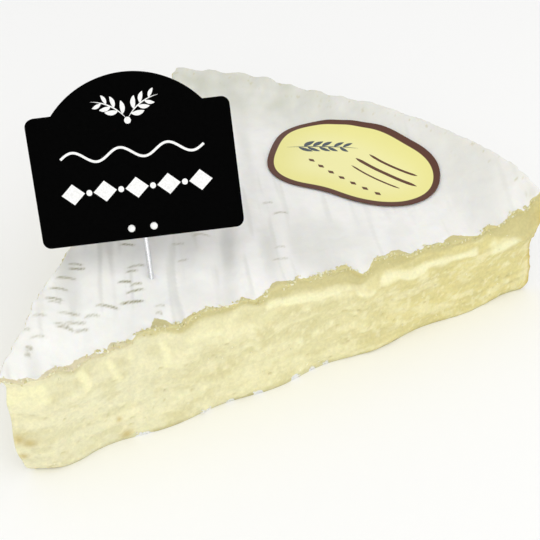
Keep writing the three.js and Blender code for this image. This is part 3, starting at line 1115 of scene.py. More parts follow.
    def paste_colour(self, plain: Points, pits: Points, cream: Points) -> Points:
        """Works out the colour of the paste at each point.

        Args:
            plain: points of the plain sector.
            pits: the depth of the pits.
            cream: the cream mask.

        Returns:
            Linear red, green, blue and alpha.
        """
        s, c = self.sector, self.colours
        x, y, z = plain.T
        radius, under = np.hypot(x, y), s.height - z
        front, run = self.nearest_cut(plain)
        lip = np.where(front, *[self.lip(cut, radius, under) for cut in Cut])
        shade = np.tile(linear(c.core), (len(plain), 1))
        shade = blended(shade, c.core_tip, 1 - smooth(radius, 20, 80))
        shade = blended(shade, c.core_rim, smooth(radius, 80, 130))
        clouds, mottle = noise(plain, (14, 14, 4), 81, 3), noise(plain, (5, 5, 3), 82, 3)
        streaks, grain = noise(plain, (17, 17, 1.4), 85, 2), noise(plain, 1.3, 86, 2)
        shade = blended(shade, c.dry, 0.28 * smooth(clouds, 0.1, 0.8))
        shade = blended(shade, c.curd, 0.45 * smooth(mottle, 0.05, 0.75))
        shade = blended(shade, c.dry, 0.3 * smooth(-mottle, 0.2, 0.8))
        shade = blended(shade, c.dry, 0.4 * smooth(streaks, 0.15, 0.7) * smooth(radius, 50, 110))
        shade = blended(shade, c.curd, 0.45 * smooth(grain, 0.25, 0.75) * smooth(under, 6, 11))
        # The band under the rind: darker straw that is partly the paste's own colour and partly painted shade
        # under the rind's edge.
        shade = blended(shade, c.dry, 0.85 * lip)
        shade = blended(shade, c.blush, 0.8 * lip * (1 - smooth(radius, 24, 40)))
        # Painted highlight on the ripened ridges, over their cream colour; the listed curds take the same
        # cream as their own pale colour.
        shade = blended(shade, c.cream, smooth(cream, 0.25, 0.75))
        shade = blended(shade, c.cream, 0.85 * self.listed(self.curds, run, under))
        # Painted shade in the pits.
        shade = blended(shade, c.pit_shade_and_foot_line, 0.6 * smooth(pits, 0.05, 0.4))
        shade = blended(shade, c.tan, 0.7 * self.listed(self.stains, run, under))
        shade = blended(shade, c.tan, 0.8 * (1 - smooth(s.radius - radius, 0.3, 1.4)) * smooth(under, 3, 9))
        floor = (0.35 + 0.65 * smooth(noise(plain, (6, 6, 3), 84, 2), 0, 0.6)) * (1 - smooth(z, 0.3, 2.2))
        return blended(shade, c.pit_shade_and_foot_line, 0.7 * floor)

    def build(self) -> Piece:
        """Models, colours and places the wedge.

        Returns:
            The finished wedge.
        """
        wedge = self.block()
        plain = self.sector.from_part(read_points(wedge))
        plain[:, 2] = np.clip(plain[:, 2], 0, self.sector.height)
        moved, pits, cream = self.detailed(plain)
        write_points(wedge, in_box(self.sector.to_part(moved)))
        write_values(wedge, "rind_edge", self.rind_edge(plain))
        write_values(wedge, "rind_colour", self.rind_colour(plain))
        write_values(wedge, "straw_marks", self.straw_marks(plain))
        write_values(wedge, "paste_colour", self.paste_colour(plain, pits, cream))
        under = self.sector.height - plain[:, 2]
        write_values(wedge, "moist", np.maximum(smooth(cream, 0.2, 0.8), 0.5 * (1 - smooth(under, 4, 10))))
        self.plain, self.moved = plain, moved
        self.flatten_base(wedge)
        activate(wedge)
        bpy.ops.object.shade_smooth()
        place(wedge, Slot.CHEESE, self.finish.material(), "cheese_wedge")
        return wedge

    def flatten_base(self, wedge: Piece) -> None:
        """Joins the small faces of the flat base into a few large ones.

        Args:
            wedge: the wedge, whose base lies at height 0.
        """
        activate(wedge)
        bpy.ops.object.mode_set(mode="EDIT")
        bpy.ops.mesh.select_all(action="DESELECT")
        bpy.ops.object.mode_set(mode="OBJECT")
        for face in wedge.data.polygons:
            face.select = face.normal.z < -0.999 and face.center.z < 0.02 * MM
        bpy.ops.object.mode_set(mode="EDIT")
        bpy.ops.mesh.select_mode(type="FACE")
        bpy.ops.mesh.delete(type="FACE")
        bpy.ops.mesh.select_mode(type="EDGE")
        bpy.ops.mesh.select_non_manifold()
        bpy.ops.mesh.fill(use_beauty=False)
        bpy.ops.object.mode_set(mode="OBJECT")


def blended(shade: Points, colour: str, weight: Points) -> Points:
    """Mixes a colour into the colours of many points.

    Args:
        shade: linear colours, four numbers to a row.
        colour: an sRGB hex colour.
        weight: the share of that colour at each point.

    Returns:
        The mixed colours.
    """
    share = np.clip(weight, 0, 1)[:, None]
    return shade * (1 - share) + np.array(linear(colour)) * share


@dataclass(frozen=True)
class Stroke:
    """One flat mark of print: a path with a width that changes along it."""

    path: Points
    half: Points
    colour: str

    def ribbon(self) -> tuple[Points, list[tuple[int, ...]]]:
        """Widens the path into a strip.

        Returns:
            The strip's points on the flat, and its faces.
        """
        ahead = np.gradient(self.path, axis=0)
        ahead /= np.maximum(np.linalg.norm(ahead, axis=1, keepdims=True), 1e-9)
        side = np.stack([-ahead[:, 1], ahead[:, 0]], axis=1) * self.half[:, None]
        count = len(self.path)
        faces = [(i, i + 1, count + i + 1, count + i) for i in range(count - 1)]
        return np.concatenate([self.path - side, self.path + side]), faces


class Mark(Enum):
    """The outlines that a stroke can have."""

    LINE = "line"
    LEAF = "leaf"
    LOZENGE = "lozenge"
    DISC = "disc"


def stroke(
    mark: Mark, start: Pair, end: Pair, width: float, colour: str, bend: float = 0, steps: int = 13
) -> Stroke:
    """Draws one stroke between two points.

    Args:
        mark: its outline.
        start: where it starts.
        end: where it ends.
        width: its greatest width.
        colour: an sRGB hex colour.
        bend: how far its middle stands to the left of the straight line.
        steps: points along it.

    Returns:
        The stroke.
    """
    share = np.linspace(0, 1, steps)
    first, last = np.array(start, float), np.array(end, float)
    along_it = last - first
    left = np.array([-along_it[1], along_it[0]]) / np.linalg.norm(along_it)
    path = first + share[:, None] * along_it + (4 * bend * share * (1 - share))[:, None] * left
    outline = {
        Mark.LINE: np.minimum(1, 12 * np.minimum(share, 1 - share) + 0.1),
        Mark.LEAF: np.sin(math.pi * share) ** 0.8,
        Mark.LOZENGE: 1 - np.abs(2 * share - 1),
        Mark.DISC: np.sqrt(np.clip(1 - (2 * share - 1) ** 2, 0, 1)),
    }[mark]
    return Stroke(path, np.maximum(width / 2 * outline, 0.01), colour)


def sprig(start: Pair, end: Pair, leaves: int, leaf: float, colour: str, bend: float) -> list[Stroke]:
    """Draws a stem with leaves on both sides.

    Args:
        start: the foot of the stem.
        end: its top.
        leaves: leaves on each side.
        leaf: the length of a leaf.
        colour: an sRGB hex colour.
        bend: how far the stem's middle stands to the left.

    Returns:
        The strokes.
    """
    stem = stroke(Mark.LEAF, start, end, 0.09 * leaf, colour, bend, 25)
    strokes = [stem]
    for i, side in product(range(leaves), (-1, 1)):
        at = 4 + round((i + 0.5 * (side > 0)) * 17 / leaves)
        ahead = stem.path[at + 1] - stem.path[at]
        angle = math.atan2(ahead[1], ahead[0]) + side * math.radians(42)
        size = leaf * (1 - 0.35 * i / leaves)
        tip = stem.path[at] + size * np.array([math.cos(angle), math.sin(angle)])
        foot = tuple(stem.path[at])
        strokes.append(stroke(Mark.LEAF, foot, tuple(tip), 0.36 * size, colour, 0.08 * side * size))
    return strokes


def printed(name: str, strokes: list[Stroke], ground: Any, thickness: float) -> Piece:
    """Lays strokes on a surface as one thin piece.

    Args:
        name: the piece's name.
        strokes: the strokes, in the surface's own two directions, in millimetres.
        ground: a function from flat points to places in metres.
        thickness: how thick the ink stands, in millimetres.

    Returns:
        The piece, with each stroke's colour stored at its vertices.
    """
    points, faces, colours = [], [], []
    for mark in strokes:
        flat, quads = mark.ribbon()
        start = len(points)
        points += list(ground(flat))
        faces += [tuple(start + i for i in quad) for quad in quads]
        colours += [linear(mark.colour)] * len(flat)
    piece = mesh_piece(name, np.array(points), faces)
    write_values(piece, "ink_colour", np.array(colours))
    apply_modifier(piece, "SOLIDIFY", thickness=thickness * MM, offset=1)
    return piece


@dataclass(frozen=True)
class StoredColour:
    """A dull surface whose colour changes from place to place, such as ink or a crumb of paste."""

    name: str
    attribute: str
    roughness: float
    grain: float
    subsurface: float = 0

    def material(self) -> Material:
        """Builds the material from the colour stored at the piece's vertices and a fine grain.

        Returns:
            The material.
        """
        material, tree = new_material(self.name)
        spot = add_node(tree, "ShaderNodeTexCoord").outputs["Object"]
        grain = add_node(
            tree, "ShaderNodeTexNoise", {"Vector": spot, "Scale": 1 / (self.grain * MM), "Detail": 3.0}
        ).outputs["Fac"]
        fleck = add_node(
            tree, "ShaderNodeMapRange", NOISE_RANGE | {"Value": grain, "To Min": 0.86, "To Max": 1.06}
        ).outputs["Result"]
        stored = add_node(tree, "ShaderNodeAttribute", attribute_name=self.attribute).outputs["Color"]
        colour = add_node(
            tree, "ShaderNodeMix", {0: 1.0, 6: stored, 7: fleck}, data_type="RGBA", blend_type="MULTIPLY"
        ).outputs[2]
        bump = add_node(tree, "ShaderNodeBump", {"Height": grain, "Strength": 0.3, "Distance": 0.1 * MM})
        surface(
            tree,
            {
                "Base Color": colour,
                "Roughness": self.roughness,
                "Normal": bump.outputs["Normal"],
                "Subsurface Weight": self.subsurface,
                "Subsurface Radius": (3.0, 2.2, 1.1),
                "Subsurface Scale": 1.0 * MM,
            },
        )
        return material


@dataclass
class Crumbs:
    """Crumbs of paste along the torn edge and over the cut faces, and flakes of rind at the foot."""

    wedge: CheeseWedge
    edge_count: int = 260
    face_count: int = 110
    flake_count: int = 36
    edge_size: Pair = (0.18, 0.5)
    face_size: Pair = (0.12, 0.34)
    flake_size: Pair = (0.25, 0.6)
    edge_colours: tuple[str, ...] = ("#D6CC95", "#DDD4A0", "#E9E2B4", "#F3EEC6")
    face_colours: tuple[str, ...] = ("#F4EFC8", "#FBF8DC", "#EDE7BA")
    flake_colours: tuple[str, ...] = ("#F3F2EC", "#EEEDE2")

    def lump(self) -> tuple[Points, list[tuple[int, ...]]]:
        """Models one uneven crumb about a unit across.

        Returns:
            Its points and faces.
        """
        deselect()
        bpy.ops.mesh.primitive_ico_sphere_add(subdivisions=2, radius=1)
        ball = bpy.context.object
        points = read_points(ball)
        points *= (1 + 0.45 * noise(points, 0.8, 3))[:, None]
        faces = [tuple(face.vertices) for face in ball.data.polygons]
        bpy.data.objects.remove(ball)
        return points, faces

    def scatter(
        self,
        name: str,
        spots: Points,
        count: int,
        size: Pair,
        flat: float,
        colours: tuple[str, ...],
        seed: int,
    ) -> Piece:
        """Strews copies of the crumb over chosen vertices of the wedge.

        Args:
            name: the piece's name.
            spots: the vertices that may carry a crumb.
            count: how many crumbs.
            size: the smallest and largest half width, in millimetres.
            flat: the crumbs' thickness, as a share of their width.
            colours: what colours they have.
            seed: which scatter to use.

        Returns:
            All the crumbs, as one piece.
        """
        lump, faces = self.lump()
        draw = np.random.default_rng(seed)
        all_points, all_faces, shades = [], [], []
        for spot in draw.choice(spots, count, replace=False):
            turn = np.array(Matrix.Rotation(draw.uniform(0, FULL_TURN), 3, Vector(draw.normal(size=3))))
            stretch = np.array([draw.uniform(0.8, 1.5), 1, flat]) * draw.uniform(*size)
            start = len(all_points) * len(lump)
            all_points.append((lump * stretch) @ turn.T + self.wedge.moved[spot])
            all_faces += [tuple(start + i for i in face) for face in faces]
            shades.append(np.tile(linear(draw.choice(colours)), (len(lump), 1)))
        piece = mesh_piece(name, in_box(self.wedge.sector.to_part(np.concatenate(all_points))), all_faces)
        write_values(piece, "ink_colour", np.concatenate(shades))
        activate(piece)
        bpy.ops.object.shade_smooth()
        return piece

    def build(self) -> list[Piece]:
        """Strews the crumbs.

        Returns:
            One piece for each kind.
        """
        s = self.wedge.sector
        x, y, z = self.wedge.plain.T
        under = s.height - z
        behind = np.minimum(*(s.behind(cut, x, y) for cut in Cut))
        on_cut = behind < 0.3
        inside = np.hypot(x, y) < s.radius - 2
        edge = np.flatnonzero((s.behind(Cut.FRONT, x, y) < 1.3) & (under < 1.6) & inside)
        face = np.flatnonzero(on_cut & (under > 3) & (z > 2) & inside)
        _, run = self.wedge.nearest_cut(self.wedge.plain)
        fleck = np.min([np.abs(run - at) / half for at, half in self.wedge.foot_flecks], axis=0)
        foot = np.flatnonzero(on_cut & (z < 1.8) & (z > 0.7) & inside & (fleck < 1.3))
        finish = StoredColour("crumbs_of_paste", "ink_colour", 0.6, 0.5, 0.25).material()
        kinds = (
            ("edge_crumbs", edge, self.edge_count, self.edge_size, 0.8, self.edge_colours, 21),
            ("face_crumbs", face, self.face_count, self.face_size, 0.7, self.face_colours, 22),
            ("rind_flakes", foot, self.flake_count, self.flake_size, 0.5, self.flake_colours, 23),
        )
        pieces = [self.scatter(*kind) for kind in kinds]
        for piece in pieces:
            place(piece, Slot.CHEESE, finish)
        return pieces


@dataclass(frozen=True)
class CoatedPaper:
    """Thin coated label paper: a cream-yellow field with a dark brown border, smooth with a low sheen."""

    field_middle: str = "#F4EFAA"
    field_edge: str = "#EFE995"
    border: str = "#552A14"
    border_width: float = 2
    border_blur: float = 0.06
    glow: Pair = (2, 13)
    fibre: float = 0.7

    def material(self) -> Material:
        """Builds the material from each point's distance to the label's edge.

        Returns:
            The material.
        """
        material, tree = new_material("coated_label_paper")
        inset = add_node(tree, "ShaderNodeAttribute", attribute_name="inset").outputs["Fac"]
        spot = add_node(tree, "ShaderNodeTexCoord").outputs["Object"]
        fibre = add_node(
            tree, "ShaderNodeTexNoise", {"Vector": spot, "Scale": 1 / (self.fibre * MM), "Detail": 4.0}
        ).outputs["Fac"]
        middle = add_node(
            tree,
            "ShaderNodeMapRange",
            {"Value": inset, "From Min": self.glow[0], "From Max": self.glow[1]},
            interpolation_type="SMOOTHSTEP",
        ).outputs["Result"]
        ground = add_node(
            tree,
            "ShaderNodeMix",
            {0: middle, 6: linear(self.field_edge), 7: linear(self.field_middle)},
            data_type="RGBA",
        ).outputs[2]
        border = add_node(
            tree,
            "ShaderNodeMapRange",
            {
                "Value": inset,
                "From Min": self.border_width + self.border_blur,
                "From Max": self.border_width - self.border_blur,
            },
        ).outputs["Result"]
        colour = add_node(
            tree, "ShaderNodeMix", {0: border, 6: ground, 7: linear(self.border)}, data_type="RGBA"
        ).outputs[2]
        sheen = add_node(
            tree, "ShaderNodeMapRange", NOISE_RANGE | {"Value": fibre, "To Min": 0.42, "To Max": 0.55}
        ).outputs["Result"]
        bump = add_node(tree, "ShaderNodeBump", {"Height": fibre, "Strength": 0.12, "Distance": 0.05 * MM})
        inputs = {"Base Color": colour, "Roughness": sheen, "Normal": bump.outputs["Normal"]}
        surface(tree, inputs | {"IOR": 1.5})
        return material


@dataclass
class PaperLabel:
    """The oval label with a shallow dip, which follows the rind that it lies on."""

    sector: Sector
    finish: CoatedPaper = field(default_factory=CoatedPaper)
    middle: Pair = (123.85, 47.47)
    bearing: float = math.radians(-69)
    radius: float = 24.4
    waves: Stations = ((-0.2, -0.1), (4, 0.9), (1, 0.9), (0.2, -0.6), (-0.4, 0.5))
    lift: float = 0.42
    paper: float = 0.22
    print_gap: float = 0.015
    sides: int = 180
    rings: int = 30
    brown: str = "#5B3114"
    slate: str = "#47525A"

    def outline(self, angle: Points, scale: Points) -> Points:
        """Gives points of the label on its own flat.

        Args:
            angle: angles round its middle.
            scale: shares of the way to its edge.

        Returns:
            Lengthwise and crosswise places in millimetres.
        """
        waves = enumerate(self.waves, start=1)
        radius = self.radius + sum(c * np.cos(k * angle) + d * np.sin(k * angle) for k, (c, d) in waves)
        return (scale * radius)[:, None] * np.stack([np.cos(angle), np.sin(angle)], axis=1)

    def on_rind(self, flat: Points, lift: float) -> Points:
        """Lays flat points of the label on the rind.

        Args:
            flat: lengthwise and crosswise places in millimetres.
            lift: how far they stand over the rind.

        Returns:
            Places in metres.
        """
        cos, sin = math.cos(self.bearing), math.sin(self.bearing)
        plan = flat @ np.array([[cos, sin], [-sin, cos]]) + np.array(self.middle)
        points = self.sector.shaped(np.column_stack([plan, np.full(len(plan), self.sector.height)]))
        cockle = 0.12 * noise(np.column_stack([plan, np.zeros(len(plan))]), 11, 91, 2)
        points[:, 2] += lift + cockle
        return self.sector.to_part(points)

    def sheet(self) -> Piece:
        """Cuts the label from a disc of rings and lays it on the rind.

        Returns:
            The label, with each point's distance to its edge stored.
        """
        deselect()
        bpy.ops.mesh.primitive_circle_add(vertices=self.sides, radius=1, fill_type="NGON")
        sheet = settle(bpy.context.object, "label_sheet")
        bpy.ops.object.mode_set(mode="EDIT")
        bpy.ops.mesh.select_all(action="SELECT")
        for _ in range(self.rings - 1):
            bpy.ops.mesh.inset(thickness=1 / self.rings)
        bpy.ops.mesh.poke()
        bpy.ops.object.mode_set(mode="OBJECT")
        disc = read_points(sheet)
        x, y = disc[:, 0], disc[:, 1]
        flat = self.outline(np.arctan2(y, x), np.minimum(np.hypot(x, y), 1))
        edge = self.outline(np.linspace(-math.pi, math.pi, 720), np.ones(720))
        inset = np.min(np.linalg.norm(flat[:, None] - edge[None], axis=2), axis=1)
        write_points(sheet, self.on_rind(flat, self.lift))
        write_values(sheet, "inset", inset)
        apply_modifier(sheet, "SOLIDIFY", thickness=self.paper * MM, offset=1)
        activate(sheet)
        bpy.ops.object.shade_smooth_by_angle(angle=math.radians(40))
        return sheet

    def artwork(self) -> list[Stroke]:
        """Draws the label's print: a sprig, plain rules and a row of lozenges.

        Returns:
            The strokes, on the label's own flat.
        """
        strokes = sprig((-20, -7), (-4, 9), 5, 5.2, self.slate, 1.6)
        for start, end, level, width in ((1, 20, 8.5, 0.9), (-1, 23, 4.2, 1.3), (1, 20, -0.2, 0.7)):
            strokes.append(stroke(Mark.LINE, (start, level), (end, level), width, self.brown, -0.8, 21))
        for i in range(7):
            at = (-9 + 4.4 * i, -8.6 + 0.12 * (i - 3) ** 2)
            strokes.append(stroke(Mark.LOZENGE, (at[0] - 1.3, at[1]), (at[0] + 1.3, at[1]), 1.7, self.brown))
        return strokes

    def build(self) -> list[Piece]:
        """Makes the label and its print.

        Returns:
            The sheet and the print.
        """
        sheet = self.sheet()
        place(sheet, Slot.LABEL, self.finish.material(), "paper_label")
        top = self.lift + self.paper + self.print_gap
        ink = printed("label_print", self.artwork(), lambda flat: self.on_rind(flat, top), INK)
        place(ink, Slot.LABEL, StoredColour("printing_ink", "ink_colour", 0.5, 0.3).material())
        return [sheet, ink]


@dataclass(frozen=True)
class PlainFinish:
    """A manufactured surface of one colour with a fine grain, such as lacquer, enamel or drawn steel."""

    name: str
    colour: str
    roughness: Pair
    grain: Triple
    bump: float
    metallic: float = 0
    specular: float = 0.5

    def material(self) -> Material:
        """Builds the material, with a grain in its sheen and its relief.

        Returns:
            The material.
        """
        material, tree = new_material(self.name)
        spot = add_node(tree, "ShaderNodeTexCoord").outputs["Object"]
        scale = tuple(1 / (size * MM) for size in self.grain)
        mapped = add_node(tree, "ShaderNodeMapping", {"Vector": spot, "Scale": scale}).outputs["Vector"]
        grain = add_node(
            tree, "ShaderNodeTexNoise", {"Vector": mapped, "Scale": 1.0, "Detail": 3.0}
        ).outputs["Fac"]
        low, high = self.roughness
        rough = add_node(
            tree, "ShaderNodeMapRange", NOISE_RANGE | {"Value": grain, "To Min": low, "To Max": high}
        ).outputs["Result"]
        wear_and_shade_fade = add_node(
            tree, "ShaderNodeMapRange", NOISE_RANGE | {"Value": grain, "To Min": 0.9, "To Max": 1.1}
        ).outputs["Result"]
        colour = add_node(
            tree,
            "ShaderNodeMix",
            {0: 1.0, 6: linear(self.colour), 7: wear_and_shade_fade},
            data_type="RGBA",
            blend_type="MULTIPLY",
        ).outputs[2]
        relief = {"Height": grain, "Strength": self.bump, "Distance": 0.05 * MM}
        bump = add_node(tree, "ShaderNodeBump", relief)
        inputs = {"Base Color": colour, "Roughness": rough, "Normal": bump.outputs["Normal"]}
        surface(tree, inputs | {"Metallic": self.metallic, "Specular IOR Level": self.specular})
        return material


@dataclass
class CounterSign:
    """The counter sign: a black board with an arched top, two rivets, and a steel pin with a crossbar."""

    sector: Sector
    foot: Pair = (47, 19.1)
    facing: float = math.radians(-22.8)
    lean: float = math.radians(25)
    tilt: float = math.radians(2)
    width: float = 54
    height: float = 34.7
    arch_width: float = 40
    arch_height: float = 9.35
    arch_overlap: float = 3
    corner: float = 2.2
    thickness: float = 2
    edge: float = 0.3
    board_lift: float = 11
    pin_radius: float = 0.75
    pin_point: float = 5
    pin_depth: float = 24
    bar_width: float = 11
    bar_height: float = 5
    bar_thickness: float = 1.6
    gap: float = 0.3
    rivet_spacing: float = 6
    rivet_height: float = 2.9
    rivet_head: float = 1
    rivet_dome: float = 0.6
    white: str = "#F4F4F2"

    @property
    def board_back(self) -> float:
        """The back face of the board, in the sign's own frame."""
        return -self.bar_thickness / 2 - self.gap

    @property
    def rivet_level(self) -> float:
        """The height of the rivets over the rind."""
        return self.board_lift + self.rivet_height

    def stand(self, piece: Piece, name: str) -> Piece:
        """Moves a piece from the sign's own upright frame to its place on the cheese.

        Args:
            piece: a piece modelled upright, in millimetres.
            name: its name.

        Returns:
            The same piece.
        """
        settle(piece, name)
        x, y = (np.array([v]) for v in self.foot)
        spot = self.sector.to_part(np.array([[*self.foot, self.sector.crown(x, y)[0]]]))[0]
        turn = Matrix.Rotation(self.facing, 4, "Z") @ Matrix.Rotation(-self.lean, 4, "X")
        turn = turn @ Matrix.Rotation(-self.tilt, 4, "Y")
        piece.data.transform(Matrix.Translation(Vector(spot)) @ turn @ Matrix.Scale(MM, 4))
        return piece

    def slab(self, width: float, depth: float, height: float, middle: Triple, corner: float) -> Piece:
        """Models a plate with rounded corners.

        Args:
            width: its width.
            depth: its thickness.
            height: its height.
            middle: its middle.
            corner: the radius of its corners.

        Returns:
            The plate, upright, in millimetres.
        """
        deselect()
        bpy.ops.mesh.primitive_cube_add(size=1, location=middle, scale=(width, depth, height))
        slab = settle(bpy.context.object, "slab")
        bpy.ops.object.mode_set(mode="EDIT")
        bpy.ops.mesh.select_all(action="DESELECT")
        bpy.ops.object.mode_set(mode="OBJECT")
        for edge in slab.data.edges:
            first, last = (slab.data.vertices[i].co for i in edge.vertices)
            edge.select = abs((last - first).normalized().y) > 0.9
        bpy.ops.object.mode_set(mode="EDIT")
        bpy.ops.mesh.select_mode(type="EDGE")
        bpy.ops.mesh.bevel(offset=corner, segments=8, affect="EDGES")
        bpy.ops.object.mode_set(mode="OBJECT")
        return slab

    def board(self) -> Piece:
        """Models the board: a plate joined to a slice of a disc.

        Returns:
            The board in its place.
        """
        middle = self.board_back - self.thickness / 2
        shoulder = self.board_lift + self.height
        spot = (0, middle, shoulder - self.height / 2)
        plate = self.slab(self.width, self.thickness, self.height, spot, self.corner)
        half = self.arch_width / 2
        radius = (half**2 + self.arch_height**2) / (2 * self.arch_height)
        centre = Vector((0, middle, shoulder + self.arch_height - radius))
        deselect()
        bpy.ops.mesh.primitive_cylinder_add(
            vertices=160, radius=radius, depth=self.thickness, location=centre, rotation=(math.pi / 2, 0, 0)
        )
        arch = settle(bpy.context.object, "arch")
        bpy.ops.object.mode_set(mode="EDIT")
        bpy.ops.mesh.select_all(action="SELECT")
        sunk = (0, 0, shoulder - self.arch_overlap)
        bpy.ops.mesh.bisect(plane_co=sunk, plane_no=(0, 0, -1), use_fill=True, clear_outer=True)
        bpy.ops.object.mode_set(mode="OBJECT")
        apply_modifier(plate, "BOOLEAN", object=arch, operation="UNION", solver="EXACT")
        bpy.data.objects.remove(arch)
        rounding = {"limit_method": "ANGLE", "angle_limit": EDGE_ANGLE}
        apply_modifier(plate, "BEVEL", width=self.edge, segments=3, **rounding)
        board = self.stand(plate, "sign_board_dressed")
        bpy.ops.object.shade_smooth_by_angle(angle=math.radians(35))
        return board

    def pin(self) -> Piece:
        """Models the pin: a pointed rod with a rounded crossbar behind the board.

        Returns:
            The pin in its place.
        """
        low, high = self.pin_point - self.pin_depth, self.rivet_level
        deselect()
        bpy.ops.mesh.primitive_cylinder_add(
            vertices=32, radius=self.pin_radius, depth=high - low, location=(0, 0, (high + low) / 2)
        )
        rod = settle(bpy.context.object, "rod")
        bpy.ops.object.mode_set(mode="EDIT")
        bpy.ops.mesh.select_all(action="DESELECT")
        bpy.ops.object.mode_set(mode="OBJECT")
        for face in rod.data.polygons:
            face.select = face.normal.z < -0.9
        bpy.ops.object.mode_set(mode="EDIT")
        bpy.ops.mesh.select_mode(type="FACE")
        bpy.ops.mesh.extrude_region_move(TRANSFORM_OT_translate={"value": (0, 0, -self.pin_point)})
        bpy.ops.transform.resize(value=(0.05, 0.05, 1))
        bpy.ops.object.mode_set(mode="OBJECT")
        spot, corner = (0, 0, self.rivet_level), self.bar_height * 0.48
        bar = self.slab(self.bar_width, self.bar_thickness, self.bar_height, spot, corner)
        apply_modifier(bar, "BEVEL", width=0.2, segments=3, limit_method="ANGLE", angle_limit=EDGE_ANGLE)
        apply_modifier(bar, "BOOLEAN", object=rod, operation="UNION", solver="EXACT")
        bpy.data.objects.remove(rod)
        pin = self.stand(bar, "sign_pin_dressed")
        bpy.ops.object.shade_smooth_by_angle(angle=math.radians(35))
        return pin

    def rivet(self, side: int, name: str) -> Piece:
        """Models a rivet with a domed head in front and a flat one behind.

        Args:
            side: -1 for the left one and 1 for the right one.
            name: its name.

        Returns:
            The rivet in its place.
        """
        across, front = side * self.rivet_spacing / 2, self.board_back - self.thickness
        behind = self.bar_thickness / 2
        deselect()
        bpy.ops.mesh.primitive_uv_sphere_add(
            segments=32, ring_count=16, radius=self.rivet_head, location=(across, front, self.rivet_level)
        )
        dome = settle(bpy.context.object, "dome")
        bpy.ops.object.mode_set(mode="EDIT")
        bpy.ops.mesh.select_all(action="SELECT")
        bpy.ops.mesh.bisect(plane_co=(0, front, 0), plane_no=(0, 1, 0), use_fill=True, clear_outer=True)
        bpy.ops.mesh.select_all(action="SELECT")
        bpy.ops.transform.resize(
            value=(1, self.rivet_dome / self.rivet_head, 1), center_override=(across, front, self.rivet_level)
        )
        bpy.ops.object.mode_set(mode="OBJECT")
        bpy.ops.mesh.primitive_cylinder_add(
            vertices=32,
            radius=self.rivet_head,
            depth=self.rivet_dome / 2,
            location=(across, behind + self.rivet_dome / 4, self.rivet_level),
            rotation=(math.pi / 2, 0, 0),
        )
        head = settle(bpy.context.object, "head")
        apply_modifier(head, "BEVEL", width=0.1, segments=2, limit_method="ANGLE", angle_limit=EDGE_ANGLE)
        rivet = self.stand(join("rivet", [dome, head]), name)
        bpy.ops.object.shade_smooth_by_angle(angle=math.radians(50))
        return rivet

    def artwork(self) -> list[Stroke]:
        """Draws the board's print: a sprig in the arch, a wavy rule and a row of lozenges.

        Returns:
            The strokes, on the board's own flat.
        """
        top = self.board_lift + self.height
        strokes = []
        for side in (-1, 1):
            strokes += sprig((0, top - 3), (side * 9, top + 2.6), 3, 3.6, self.white, side * 1.2)
        strokes.append(stroke(Mark.DISC, (-0.9, top - 3.2), (0.9, top - 3.2), 1.8, self.white))
        share = np.linspace(0, 1, 91)
        wave = np.stack([-19 + 38 * share, top - 11.5 + 1.5 * np.sin(3 * FULL_TURN * share)], axis=1)
        strokes.append(Stroke(wave, np.full(91, 0.33), self.white))
        for i in range(5):
            at = (-17 + 8.5 * i, top - 21)
            strokes.append(stroke(Mark.LOZENGE, (at[0] - 3.1, at[1]), (at[0] + 3.1, at[1]), 5.6, self.white))
        for i in range(4):
            at = (-12.75 + 8.5 * i, top - 21)
            strokes.append(stroke(Mark.DISC, (at[0] - 0.8, at[1]), (at[0] + 0.8, at[1]), 1.6, self.white))
        return strokes

    def build(self) -> list[Piece]:
        """Makes the sign.

        Returns:
            Its pieces.
        """
        even = (0.9, 0.9, 0.9)
        black = PlainFinish("matt_black_lacquer", "#010101", (0.7, 0.85), even, 0.12, specular=0.03)
        steel = PlainFinish("drawn_steel_wire", "#DCDDDF", (0.16, 0.26), (0.3, 0.3, 4.0), 0.03, metallic=1)
        enamel = PlainFinish("white_enamel", "#F2F2F0", (0.25, 0.35), (0.8, 0.8, 0.8), 0.05)
        board, pin = self.board(), self.pin()
        place(board, Slot.BOARD, black.material(), "sign_board")
        place(pin, Slot.STEEL, steel.material(), "sign_pin")
        white = enamel.material()
        rivets = [self.rivet(side, f"rivet_{name}") for side, name in ((-1, "left"), (1, "right"))]
        for rivet, node in zip(rivets, ("sign_rivet_left", "sign_rivet_right")):
            place(rivet, Slot.ENAMEL, white, node)
        face = self.board_back - self.thickness - 0.015

        def upright(flat: Points) -> Points:
            """Stands flat points on the board's face, in millimetres."""
            return np.stack([flat[:, 0], np.full(len(flat), face), flat[:, 1]], axis=1)

        ink = self.stand(printed("ink", self.artwork(), upright, INK / MM), "sign_print")
        place(ink, Slot.ENAMEL, StoredColour("white_screen_print", "ink_colour", 0.55, 0.5).material())
        return [board, pin, *rivets, ink]


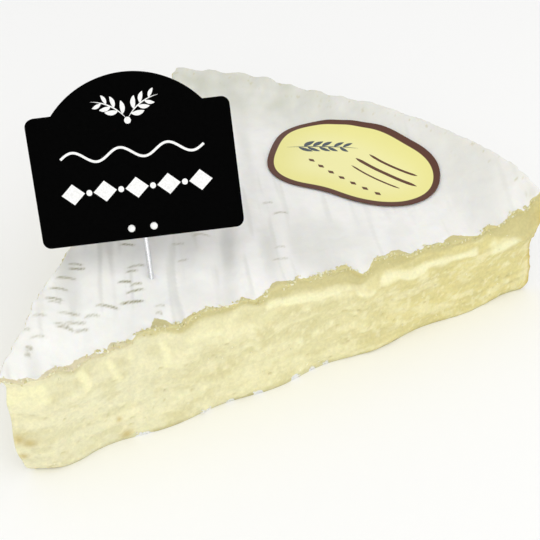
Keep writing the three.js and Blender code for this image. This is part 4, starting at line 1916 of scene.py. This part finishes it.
@dataclass
class Studio:
    """A plain white table, soft light from above and the left, and the camera."""

    camera_from_tip: Triple = (-23.28, -230.87, 229.81)
    azimuth: float = -22.85
    elevation: float = 37.24
    roll: float = -4.86
    lens: float = 79.2
    sensor: float = 36
    floor_size: float = 6
    floor_colour: str = "#FBFBFA"
    sky: float = 0.75

    def build(self, sector: Sector) -> None:
        """Sets up the floor, the lights and the camera.

        Args:
            sector: the wedge, whose tip the camera's place is measured from.
        """
        self.floor()
        self.lights()
        data = bpy.data.cameras.new("camera")
        data.lens, data.sensor_width = self.lens, self.sensor
        camera = bpy.data.objects.new("camera", data)
        bpy.context.scene.collection.objects.link(camera)
        turn = Matrix.Rotation(math.radians(self.azimuth), 4, "Z")
        tip = Matrix.Rotation(math.radians(90 - self.elevation), 4, "X")
        roll = Matrix.Rotation(math.radians(self.roll), 4, "Z")
        spot = Vector(sector.to_part(np.array([self.camera_from_tip]))[0])
        camera.matrix_world = Matrix.Translation(spot) @ turn @ tip @ roll
        data.clip_start, data.clip_end = 0.01, 20
        bpy.context.scene.camera = camera
        bpy.context.scene.view_settings.view_transform = "Standard"

    def floor(self) -> None:
        """Lays the table."""
        deselect()
        bpy.ops.mesh.primitive_plane_add(size=self.floor_size)
        floor = settle(bpy.context.object, "table")
        material, tree = new_material("white_laminate")
        surface(tree, {"Base Color": linear(self.floor_colour), "Roughness": 0.9, "Specular IOR Level": 0.1})
        floor.data.materials.append(material)

    def lights(self) -> None:
        """Hangs three soft lights in a pale room."""
        world = bpy.data.worlds.new("room")
        world.use_nodes = True
        world.node_tree.nodes["Background"].inputs["Color"].default_value = (1, 1, 1, 1)
        world.node_tree.nodes["Background"].inputs["Strength"].default_value = self.sky
        bpy.context.scene.world = world
        for name, spot, size, watts in (
            ("overhead", (-0.1, 0.05, 1.3), 2.6, 3.5),
            ("key", (-0.3, -1.0, 0.75), 1.3, 5.0),
            ("fill", (0.8, -0.9, 0.6), 1.2, 1.5),
        ):
            data = bpy.data.lights.new(name, "AREA")
            data.size, data.energy = size, watts
            light = bpy.data.objects.new(name, data)
            bpy.context.scene.collection.objects.link(light)
            light.location = spot
            light.rotation_euler = (-Vector(spot)).to_track_quat("-Z", "Y").to_euler()


def main() -> None:
    """Builds the pieces in order."""
    sector = Sector()
    wedge = CheeseWedge(sector=sector)
    wedge.build()
    Crumbs(wedge).build()
    PaperLabel(sector).build()
    CounterSign(sector).build()
    Studio().build(sector)


if __name__ == "__main__":
    main()
